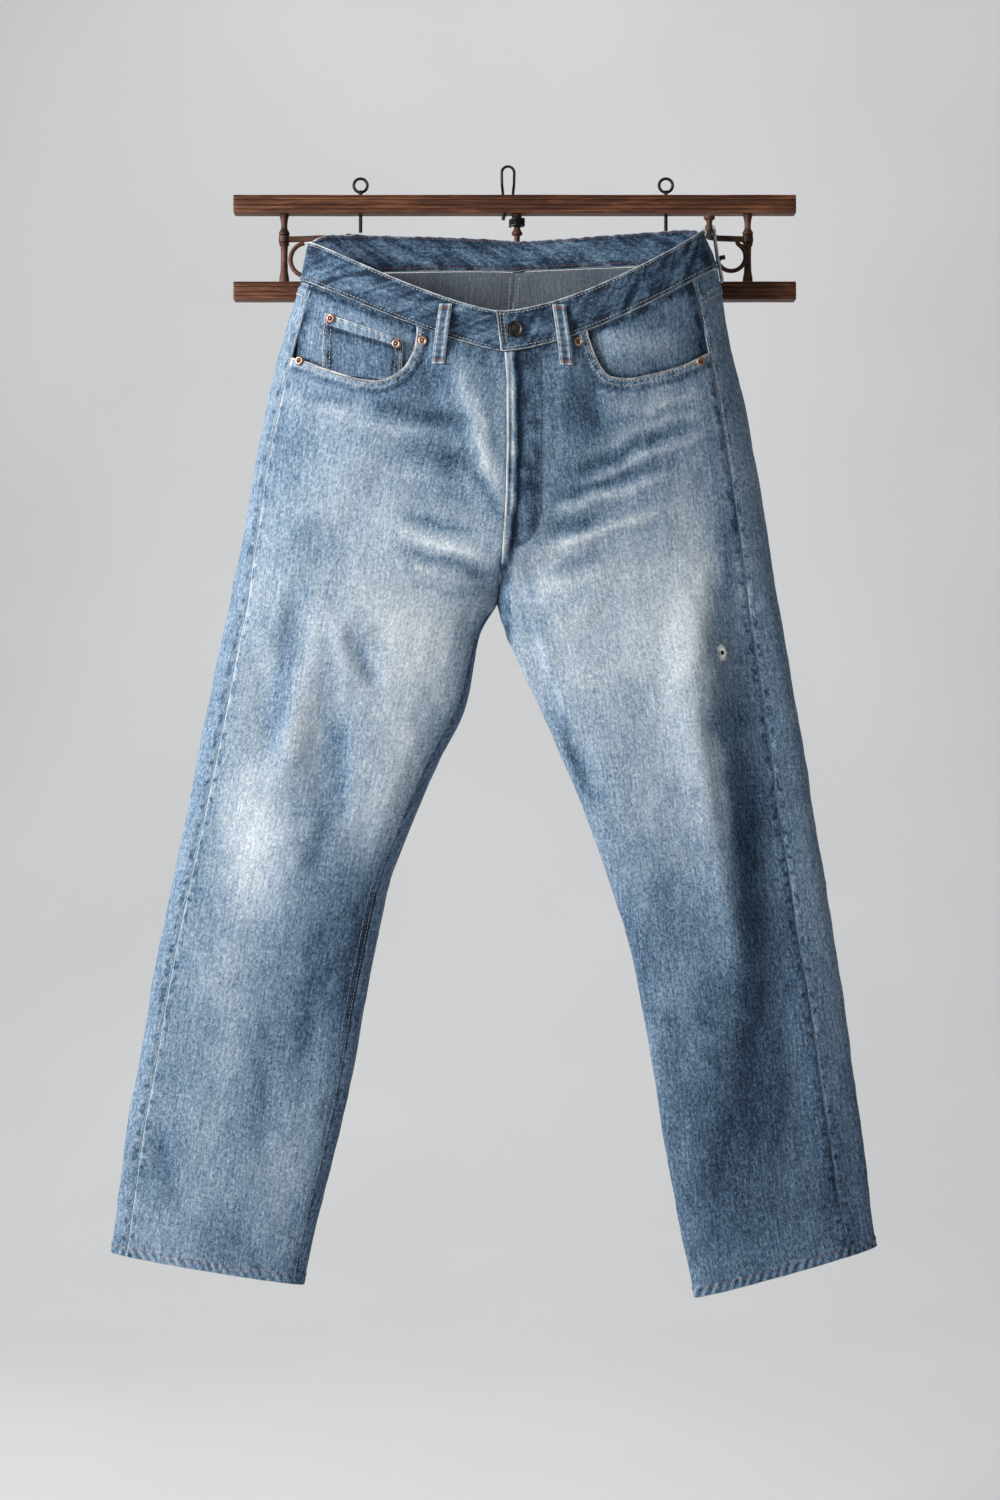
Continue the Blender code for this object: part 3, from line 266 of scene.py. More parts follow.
def makeInside(look):
    tree = Tree("denimInside")
    cloth = tree.cloth()
    fine = tree.noise(tree.scaled(cloth, (560, 420, 1)), 1.0, 3.0, 0.6)
    lines = tree.noise(tree.scaled(cloth, (700, 50, 1)), 1.0, 2.0, 0.5)
    clouds = tree.noise(tree.scaled(cloth, (26, 20, 1)), 1.0, 3.0, 0.55)
    rest = tree.calc("MULTIPLY_ADD", lines, 0.3, tree.calc("MULTIPLY", clouds, 0.2))
    amount = tree.calc("MULTIPLY_ADD", fine, 0.5, rest)
    colour = tree.ramp(amount, ((0.25, look["shadow"]), (0.5, look["weft"]), (0.8, shade(146, 151, 158))))
    return tree.finish(colour, look["roughness"], tree.bump(fine, 0.5, 0.0006), specular=0.15)


threadLook = {"pale": shade(214, 206, 190), "white": shade(232, 232, 230), "navy": shade(62, 62, 82),
              "rust": shade(158, 88, 42), "grey": shade(150, 152, 156), "roughness": 0.8}


def makeThread(name, colour):
    tree = Tree(name)
    strands = tree.noise(tree.space(), 1400.0, 2.0, 0.6)
    patches = tree.noise(tree.space(), 55.0, 2.0, 0.5)
    tone = tree.calc("MULTIPLY_ADD", strands, 0.6, tree.calc("MULTIPLY", patches, 0.5))
    return tree.finish(tree.ramp(tone, ((0.3, darker(colour, 0.55)), (0.6, colour))), threadLook["roughness"],
                       tree.bump(strands, 0.4, 0.0002), specular=0.3)


# metals: fine and broad noise through a ramp of worn colours
metalLook = {
    "wornCopper": {"fine": (900.0, 3.0, 0.6), "broad": (210.0, 2.0, 0.5), "share": 0.6, "metallic": 0.85,
                   "stops": ((0.3, shade(46, 26, 20)), (0.42, shade(160, 116, 96)),
                             (0.62, shade(218, 184, 166))),
                   "roughness": (0.28, 0.5), "bump": (0.3, 0.0002)},
    "agedBronze": {"fine": (800.0, 3.0, 0.6), "broad": (160.0, 2.0, 0.5), "share": 0.6, "metallic": 0.8,
                   "stops": ((0.38, shade(34, 31, 32)), (0.68, shade(88, 80, 78))),
                   "roughness": (0.35, 0.55), "bump": (0.4, 0.0002)},
    "oldIron": {"fine": (700.0, 4.0, 0.65), "broad": (70.0, 3.0, 0.6), "share": 0.7, "metallic": 0.45,
                "stops": ((0.36, shade(33, 27, 25)), (0.55, shade(92, 58, 42)), (0.74, shade(112, 92, 80))),
                "roughness": (0.5, 0.8), "bump": (0.6, 0.0005)},
    "blackWire": {"fine": (500.0, 3.0, 0.6), "metallic": 0.6,
                  "stops": ((0.5, shade(26, 24, 25)), (0.72, shade(70, 64, 62))),
                  "roughness": (0.35, 0.6), "bump": (0.3, 0.0003)},
    "pitCopper": {"fine": (900.0, 3.0, 0.6), "metallic": 0.5,
                  "stops": ((0.35, darker(shade(62, 38, 30), 0.45)), (0.65, shade(62, 38, 30))),
                  "roughness": 0.6, "bump": (0.3, 0.0002)},
}


def makeMetal(name, look):
    tree = Tree(name)
    fine = tree.noise(tree.space(), *look["fine"])
    tone = fine
    if "broad" in look:
        broad = tree.noise(tree.space(), *look["broad"])
        rest = tree.calc("MULTIPLY", fine, 1 - look["share"])
        tone = tree.calc("MULTIPLY_ADD", broad, look["share"], rest)
    roughness = look["roughness"]
    if isinstance(roughness, tuple):
        roughness = tree.ease(fine, 0.3, 0.7, *roughness)
    colour = tree.ramp(tone, look["stops"])
    return tree.finish(colour, roughness, tree.bump(fine, *look["bump"]), metallic=look["metallic"])


woodLook = {"dark": shade(38, 20, 13), "mid": shade(88, 52, 34), "light": shade(140, 92, 62)}


def makeWood(look):
    tree = Tree("oiledWood")
    space = tree.space()
    warped = tree.scaled(space, (9, 110, 110))
    grain = tree.noise(warped, 1.6, 5.0, 0.62, 1.2)
    pores = tree.noise(tree.scaled(space, (60, 1500, 1500)), 1.0, 2.0, 0.5)
    stains = tree.noise(tree.scaled(space, (14, 40, 40)), 1.0, 3.0, 0.5)
    rest = tree.calc("MULTIPLY_ADD", pores, 0.22, tree.calc("MULTIPLY", stains, 0.22))
    tone = tree.calc("MULTIPLY_ADD", grain, 0.7, rest)
    colour = tree.ramp(tone, ((0.34, look["dark"]), (0.55, look["mid"]), (0.74, look["light"])))
    height = tree.calc("MULTIPLY_ADD", pores, 0.5, grain)
    roughness = tree.ease(pores, 0.3, 0.7, 0.42, 0.68)
    return tree.finish(colour, roughness, tree.bump(height, 0.5, 0.0006), specular=0.35)


pocketingLook = {"thread": shade(214, 208, 194), "gap": shade(166, 160, 146)}


def makePocketing(look):
    tree = Tree("pocketCotton")
    cloth = tree.cloth()
    fine = tree.noise(tree.scaled(cloth, (900, 900, 1)), 1.0, 2.0, 0.5)
    clouds = tree.noise(tree.scaled(cloth, (18, 18, 1)), 1.0, 3.0, 0.5)
    tone = tree.calc("MULTIPLY_ADD", fine, 0.6, tree.calc("MULTIPLY", clouds, 0.4))
    colour = tree.ramp(tone, ((0.35, look["gap"]), (0.6, look["thread"])))
    return tree.finish(colour, 0.9, tree.bump(fine, 0.4, 0.0004), specular=0.2)


denim = makeDenim("washedDenim", denimLook)
bandDenim = makeDenim("waistbandDenim", denimLook, 1.5, 0.9)
denimInside = makeInside(insideLook)
threads = {}
for tone in ("pale", "white", "navy", "rust", "grey"):
    threads[tone] = makeThread(tone + "Thread", threadLook[tone])
metals = {name: makeMetal(name, look) for name, look in metalLook.items()}
oiledWood = makeWood(woodLook)
pocketCotton = makePocketing(pocketingLook)
print("materials made")


# Sections of the garment, as in the solids: a row for each height of a leg
sectionColumns = ("outerX", "outerZ", "frontX", "frontZ", "backX", "backZ", "sideY", "midY",
                  "frontY", "backY", "frontClosed", "backClosed", "frontSag", "backSag",
                  "frontCorner", "backCorner")
# front X and Z, then back X and Z, of the centre seam from the band to the crotch
centreRows = (
    (-7.4, -167.7, 9.3, -81.5), (-3.3, -209.1, 7.2, -114.4), (-1.3, -249.1, 4.2, -167.3),
    (-1.3, -297.2, 0, -239.5), (-2.3, -349.4, -3.1, -315.6), (-5.9, -402.8, -7.3, -394.4),
    (-7.9, -430, -8.4, -433.9), (-10.5, -456.2, -10.5, -456.2),
)
# depths that both legs share, and how far each face is closed
depthRows = {
    "bandTop": (-32, -30, -91, -17, 0, 0), "waist": (-34, -30, -90, -19, 0, 0),
    "hipA": (-32, -30, -87, -11, 0, 0), "hipB": (-30, -30, -83, -5, 0, 0),
    "hipC": (-28, -30, -78, -1, 0, 0), "hipD": (-26, -30, -73, 0, 0.1, 0.02),
    "crotchA": (-26, -30, -68, 0, 0.6, 0.5), "crotch": (-26, -30, -66, 0, 1, 1),
    "thighA": (-25, -29, -64, 0, 1, 1), "thighB": (-24, -27, -61, 1, 1, 1),
    "thighC": (-23, -26, -58, 2, 1, 1), "thighD": (-22, -25, -54, 2, 1, 1),
    "kneeA": (-21, -24, -50, 2, 1, 1), "kneeB": (-20, -23, -46, 2, 1, 1), "calfA": (-19, -22, -43, 2, 1, 1),
    "calfB": (-18, -21, -40, 2, 1, 1), "calfC": (-17, -19, -37, 2, 1, 1), "calfD": (-16, -18, -35, 2, 1, 1),
    "hemTop": (-15, -16, -33, 2, 1, 1), "hem": (-15, -16, -32, 2, 1, 1),
}
# outer edge, X and Z, from the band to the hem
outerRows = {
    "right": (
        (-206.5, -87), (-214.7, -127.8), (-231.4, -181.4), (-248.8, -248.5), (-263, -320.9),
        (-275.7, -393.5), (-283, -426.8), (-289.2, -460.1), (-297.1, -495.4), (-310.8, -559.9),
        (-323.9, -625.5), (-335.5, -684.9), (-348.1, -745.4), (-361.8, -808), (-374, -871.7),
        (-384.6, -935.4), (-396.3, -998.1), (-404.7, -1061), (-412.2, -1118.6), (-414.3, -1136.4),
    ),
    "left": (
        (200.5, -74), (216.5, -115), (227.1, -176.2), (243.9, -248.5), (257.6, -320.9), (270.3, -393.5),
        (275.5, -426.8), (280.7, -460.1), (288.1, -497.5), (298.7, -559.9), (309.7, -622.3),
        (318.7, -684.8), (330.3, -747.4), (339.8, -810), (350.4, -872.7), (358.9, -935.4), (367.4, -998.1),
        (375.9, -1061), (381.3, -1111.3), (384.4, -1130.1),
    ),
}
# inseam, X and Z, below the crotch
inseamRows = {
    "right": (
        (-29.2, -491.4), (-42.7, -562), (-72.9, -627.4), (-99.4, -688.8), (-122.9, -751.3), (-137, -816),
        (-150.1, -882.8), (-162.1, -950.6), (-177.4, -1018.7), (-193.6, -1081.5), (-210, -1150.8),
        (-213.6, -1169.6),
    ),
    "left": (
        (-0.1, -495.6), (30.1, -563), (59.2, -627.5), (85.2, -691), (107.1, -755.5), (125.9, -820.2),
        (141.1, -888), (152.6, -955.8), (163.2, -1023.9), (175.8, -1090.7), (191.1, -1163.3),
        (195.2, -1183.2),
    ),
}
# sag of the front and back and lift of their corners, where they aren't plain
waistHang = {
    "right": (
        (1.36, 1.3, 0, 12), (1.3, 1.2, 0, 9), (1.2, 1.1, 0, 0), (1.1, 1, 0, 0),
    ),
    "left": (
        (1.5, 1.3, -5, 5), (1.5, 1.2, 0, 8), (1.3, 1.1, 0, 0), (1.1, 1, 0, 0),
    ),
}


def legColumns(leg):
    centre = centreRows + tuple(point * 2 for point in inseamRows[leg])
    hang = waistHang[leg] + ((1, 1, 0, 0),) * (len(depthRows) - len(waistHang[leg]))
    rows = [sum(parts, ()) for parts in zip(outerRows[leg], centre, depthRows.values(), hang)]
    return {name: np.array([row[k] for row in rows], float) for k, name in enumerate(sectionColumns)}


columnAt = {leg: legColumns(leg) for leg in ("right", "left")}
hemRow = 19.0
turnSign = {"right": 1, "left": -1}
# part of the width between the outer edge and the side seam, and the same for the inseam
seamTables = {
    "right": ((0, 0.045, 0.0), (1, 0.049, 0.0), (2, 0.068, 0.0), (4, 0.054, 0.0), (5, 0.06, 0.0), (7, 0.075, 0.0),
              (8, 0.078, 0.01), (10, 0.087, 0.045), (14, 0.087, 0.05), (19, 0.085, 0.04)),
    "left": ((0, 0.125, 0.0), (1, 0.128, 0.0), (2, 0.11, 0.0), (4, 0.112, 0.0), (7, 0.113, 0.0), (8, 0.118, -0.01),
             (9, 0.128, -0.04), (10, 0.145, -0.06), (12, 0.17, -0.06), (13, 0.18, -0.06), (17, 0.17, -0.055),
             (19, 0.135, -0.05)),
}
# the largest folds: face, two ends seen from the front, half width and height
mainFolds = {
    "right": (("front", -196, -560, -190, -668, 26, -7), ("front", -250, -515, -256, -628, 20, -5),
              ("front", -224, -505, -222, -625, 18, 4), ("front", -205, -690, -236, -830, 40, 4),
              ("back", -170, -500, -215, -640, 28, 4), ("back", -255, -640, -265, -800, 24, -4),
              ("front", -140, -300, -225, -390, 30, 3)),
    "left": (("front", 188, -480, 210, -670, 34, 8), ("front", 210, -670, 245, -840, 34, 8),
             ("front", 236, -460, 274, -770, 26, -12), ("front", 274, -770, 302, -1010, 22, -8),
             ("front", 14, -500, 48, -585, 13, -5), ("front", 70, -600, 95, -668, 13, -5),
             ("back", 150, -520, 215, -700, 30, 4), ("back", 240, -700, 290, -900, 24, -4)),
}


def easeStep(low, high, value):
    share = np.clip((np.asarray(value, float) - low) / (high - low), 0, 1)
    return share * share * (3 - 2 * share)


def fallStep(low, high, value):
    return 1 - easeStep(low, high, value)


def bell(value, middle, width):
    return np.exp(-((value - middle) / width) ** 2)


def placeOnLine(x1, z1, x2, z2, x, z):
    # share of the way along a line, and millimetres to the side of it
    length = math.hypot(x2 - x1, z2 - z1)
    along = ((x - x1) * (x2 - x1) + (z - z1) * (z2 - z1)) / length ** 2
    return along, ((x - x1) * (z2 - z1) - (z - z1) * (x2 - x1)) / length


def runOf(points):
    # distance along a line of points, or along each row of a grid of them
    steps = np.cumsum(np.linalg.norm(np.diff(points, axis=-2), axis=-1), axis=-1)
    return np.concatenate((np.zeros(steps.shape[:-1] + (1,)), steps), axis=-1)


def pointsAt(run, points, where):
    # points at given distances along a line
    return np.stack([np.interp(where, run, points[:, k]) for k in range(3)], -1)


def smoothCurve(values, position):
    # a smooth curve through evenly spaced values that doesn't swing past them
    position = np.clip(position, 0, len(values) - 1)
    index = np.minimum(position.astype(int), len(values) - 2)
    share = position - index
    steps = np.diff(values)
    product = steps[:-1] * steps[1:]
    total = np.where(product > 0, steps[:-1] + steps[1:], 1.0)
    slopes = np.concatenate(([steps[0]], np.where(product > 0, 2 * product / total, 0.0), [steps[-1]]))
    square = share * share
    cube = square * share
    return ((2 * cube - 3 * square + 1) * values[index] + (cube - 2 * square + share) * slopes[index]
            + (3 * square - 2 * cube) * values[index + 1] + (cube - square) * slopes[index + 1])


def section(leg, row):
    row = np.asarray(row, float)
    return {name: smoothCurve(values, row) for name, values in columnAt[leg].items()}


def foldHeight(leg, face, x, z):
    total = np.zeros(np.broadcast(x, z).shape)
    for foldFace, x1, z1, x2, z2, halfWidth, height in mainFolds[leg]:
        if foldFace != face:
            continue
        along, across = placeOnLine(x1, z1, x2, z2, x, z)
        fade = easeStep(-0.25, 0.3, along) * fallStep(0.7, 1.25, along)
        total += height * fade * bell(across, 0, halfWidth)
    return total


def skin(leg, row, turn):
    # a point of the outer cloth
    # the turn is 0 at the side edge, positive over the front and negative over the back
    row, turn = np.broadcast_arrays(np.asarray(row, float), np.asarray(turn, float))
    at = section(leg, row)
    turn = np.where(np.abs(turn) > math.pi, turn - np.copysign(2 * math.pi, turn), turn)
    front = turn >= 0

    def faceValue(name):
        return np.where(front, at["front" + name], at["back" + name])

    end = math.pi / 2 * (1 + faceValue("Closed"))
    share = np.clip((1 - np.cos(turn)) / (1 - np.cos(end)), 0, 1)
    x = at["outerX"] + (faceValue("X") - at["outerX"]) * share
    drop = 1 - (1 - share) ** faceValue("Sag")
    lift = faceValue("Corner") * (1 - np.exp(-share / 0.045)) * (1 - share) ** 0.7
    z = at["outerZ"] + (faceValue("Z") - at["outerZ"]) * drop + lift
    middle = at["sideY"] + (at["midY"] - at["sideY"]) * share
    height = np.abs(np.sin(turn))
    y = middle + (faceValue("Y") - at["midY"]) * height ** 0.8
    fold = np.where(front, foldHeight(leg, "front", x, z), foldHeight(leg, "back", x, z))
    fold *= easeStep(0.0, 0.45, height)
    y = y + np.where(front, -fold, fold * 0.6)
    return np.stack((x, y, z), -1)


def seamShare(leg, row, column):
    rows = [entry[0] for entry in seamTables[leg]]
    return np.interp(row, rows, [entry[column] for entry in seamTables[leg]])


def endTurn(leg, face, row):
    return math.pi / 2 * (1 + section(leg, row)[face + "Closed"])


def sideTurn(leg, row):
    return np.arccos(1 - seamShare(leg, row, 1) * (1 - np.cos(endTurn(leg, "front", row))))


def innerTurn(leg, row, face):
    end = endTurn(leg, face, row)
    share = seamShare(leg, row, 2)
    shift = np.copysign(np.arccos(1 - 2 * np.abs(share)), share)
    return end - shift if face == "front" else -end - shift


def skinNormal(leg, row, turn):
    row, turn = np.broadcast_arrays(np.asarray(row, float), np.asarray(turn, float))
    low = np.maximum(0, row - 0.02)
    high = np.minimum(hemRow, row + 0.02)
    down = skin(leg, high, turn) - skin(leg, low, turn)
    around = skin(leg, row, turn + 0.002) - skin(leg, row, turn - 0.002)
    out = np.cross(down, around) * turnSign[leg]
    return out / np.linalg.norm(out, axis=-1, keepdims=True)


def turnAt(leg, face, row, x):
    at = section(leg, row)
    end = math.pi / 2 * (1 + at[face + "Closed"])
    share = np.clip((x - at["outerX"]) / (at[face + "X"] - at["outerX"]), 0, 1)
    turn = np.arccos(1 - share * (1 - np.cos(end)))
    return turn if face == "front" else -turn


def locate(leg, face, x, z):
    # the row and turn of the cloth at places seen from the front
    x, z = np.broadcast_arrays(np.asarray(x, float), np.asarray(z, float))
    low = np.zeros(x.shape)
    high = np.full(x.shape, hemRow)
    for _ in range(26):
        row = (low + high) / 2
        above = skin(leg, row, turnAt(leg, face, row, x))[..., 2] > z
        low = np.where(above, row, low)
        high = np.where(above, high, row)
    return row, turnAt(leg, face, row, x)


def clothAt(leg, face, x, z):
    row, turn = locate(leg, face, x, z)
    return skin(leg, row, turn), skinNormal(leg, row, turn), row, turn


def evenTurns(leg, rows, starts, stops, count):
    # turns that step evenly along the cloth from one seam to another, a line for each row
    parts = np.linspace(0, 1, 260)
    turns = starts[:, None] + (stops - starts)[:, None] * parts[None, :]
    points = skin(leg, rows[:, None], turns)
    run = runOf(points)
    wanted = np.linspace(0, 1, count)
    return np.array([np.interp(wanted * line[-1], line, turnLine) for line, turnLine in zip(run, turns)])


def gridNormals(grid, toward):
    # unit normals of a grid of points, on the side that a rough direction names
    across = np.gradient(grid, axis=1)
    down = np.gradient(grid, axis=0)
    out = np.cross(down, across)
    out /= np.maximum(np.linalg.norm(out, axis=-1, keepdims=True), 1e-9)
    if (out * toward).sum(-1).mean() < 0:
        out = -out
    return out


def cloudField(points, size, seed, detail=1):
    # soft noise from -1 to 1 over points in millimetres
    flat = points.reshape(-1, 3) / np.asarray(size, float) + seed
    if detail == 1:
        values = [noise.noise(Vector(p)) for p in flat]
    else:
        values = [noise.fractal(Vector(p), 1.0, 2.0, detail) for p in flat]
    return np.array(values).reshape(points.shape[:-1])


def ovalField(ovals, x, z):
    # soft ovals laid by hand, seen from the front
    total = np.zeros(x.shape)
    for centreX, centreZ, halfX, halfZ, degrees, amount in ovals:
        c, s = math.cos(math.radians(degrees)), math.sin(math.radians(degrees))
        u = ((x - centreX) * c + (z - centreZ) * s) / halfX
        v = (-(x - centreX) * s + (z - centreZ) * c) / halfZ
        total += amount * np.exp(-(u * u + v * v))
    return total


def streakField(streaks, x, z):
    # soft streaks between two ends, each with its own width on either side
    total = np.zeros(x.shape)
    for x1, z1, x2, z2, widthA, widthB, amount in streaks:
        along, across = placeOnLine(x1, z1, x2, z2, x, z)
        width = np.where(across > 0, widthA, widthB)
        total += amount * easeStep(-0.15, 0.25, along) * fallStep(0.7, 1.15, along) * bell(across, 0, width)
    return total


def clothSheet(name, grid, toward, wall, materials, fields, uv, roundEdge=0.0, wallShare=None):
    # a grid primitive laid on worked-out points, then given its wall
    normals = gridNormals(grid, toward)
    direct = np.cross(np.gradient(grid, axis=1), np.gradient(grid, axis=0))
    if (direct * normals).sum() < 0:
        grid, uv = grid[:, ::-1], uv[:, ::-1]
        fields = {key: value[:, ::-1] for key, value in fields.items()}
        wallShare = None if wallShare is None else wallShare[:, ::-1]
    rows, columns = grid.shape[:2]
    clearSelection()
    bpy.ops.mesh.primitive_grid_add(x_subdivisions=columns - 1, y_subdivisions=rows - 1, size=1)
    piece = bpy.context.object
    piece.name = name
    mesh = piece.data
    mesh.name = name
    mesh.vertices.foreach_set("co", (grid * mm).astype(np.float32).reshape(-1))
    corners = np.zeros(len(mesh.loops), np.int32)
    mesh.loops.foreach_get("vertex_index", corners)
    while mesh.uv_layers:
        mesh.uv_layers.remove(mesh.uv_layers[0])
    layer = mesh.uv_layers.new(name="cloth")
    layer.data.foreach_set("uv", (uv.reshape(-1, 2)[corners] * mm).astype(np.float32).reshape(-1))
    for key in ("fade", "seam", "run", "edge"):
        plain = {"fade": 0.5, "seam": 99.0, "run": 0.0, "edge": 99.0}[key]
        values = fields.get(key, np.full((rows, columns), plain))
        attribute = mesh.attributes.new(key, "FLOAT", "POINT")
        attribute.data.foreach_set("value", values.astype(np.float32).reshape(-1))
    for material in materials:
        mesh.materials.append(material)
    mesh.update()
    solid = piece.modifiers.new("wall", "SOLIDIFY")
    solid.thickness = wall * mm
    solid.offset = -1
    solid.use_even_offset = False
    if len(materials) > 1:
        solid.material_offset = 1
    if wallShare is not None:
        group = piece.vertex_groups.new(name="wall")
        shares = wallShare.reshape(-1)
        for value in np.unique(np.round(shares, 2)):
            group.add([int(k) for k in np.nonzero(np.abs(shares - value) < 0.006)[0]], float(value), "REPLACE")
        solid.vertex_group = "wall"
    if roundEdge:
        addBevel(piece, "fold", roundEdge, 2, 60)
    applyAll(piece)
    bpy.ops.object.shade_smooth_by_angle(angle=math.radians(50))
    return piece


def applyAll(piece):
    pick(piece)
    for modifier in list(piece.modifiers):
        bpy.ops.object.modifier_apply(modifier=modifier.name)
    return piece


def lengthsOf(grid):
    # distances across and down a grid of points, for the cloth map
    across = runOf(grid)
    down = runOf(grid[:, grid.shape[1] // 2])
    return across, np.broadcast_to(down[:, None], across.shape)
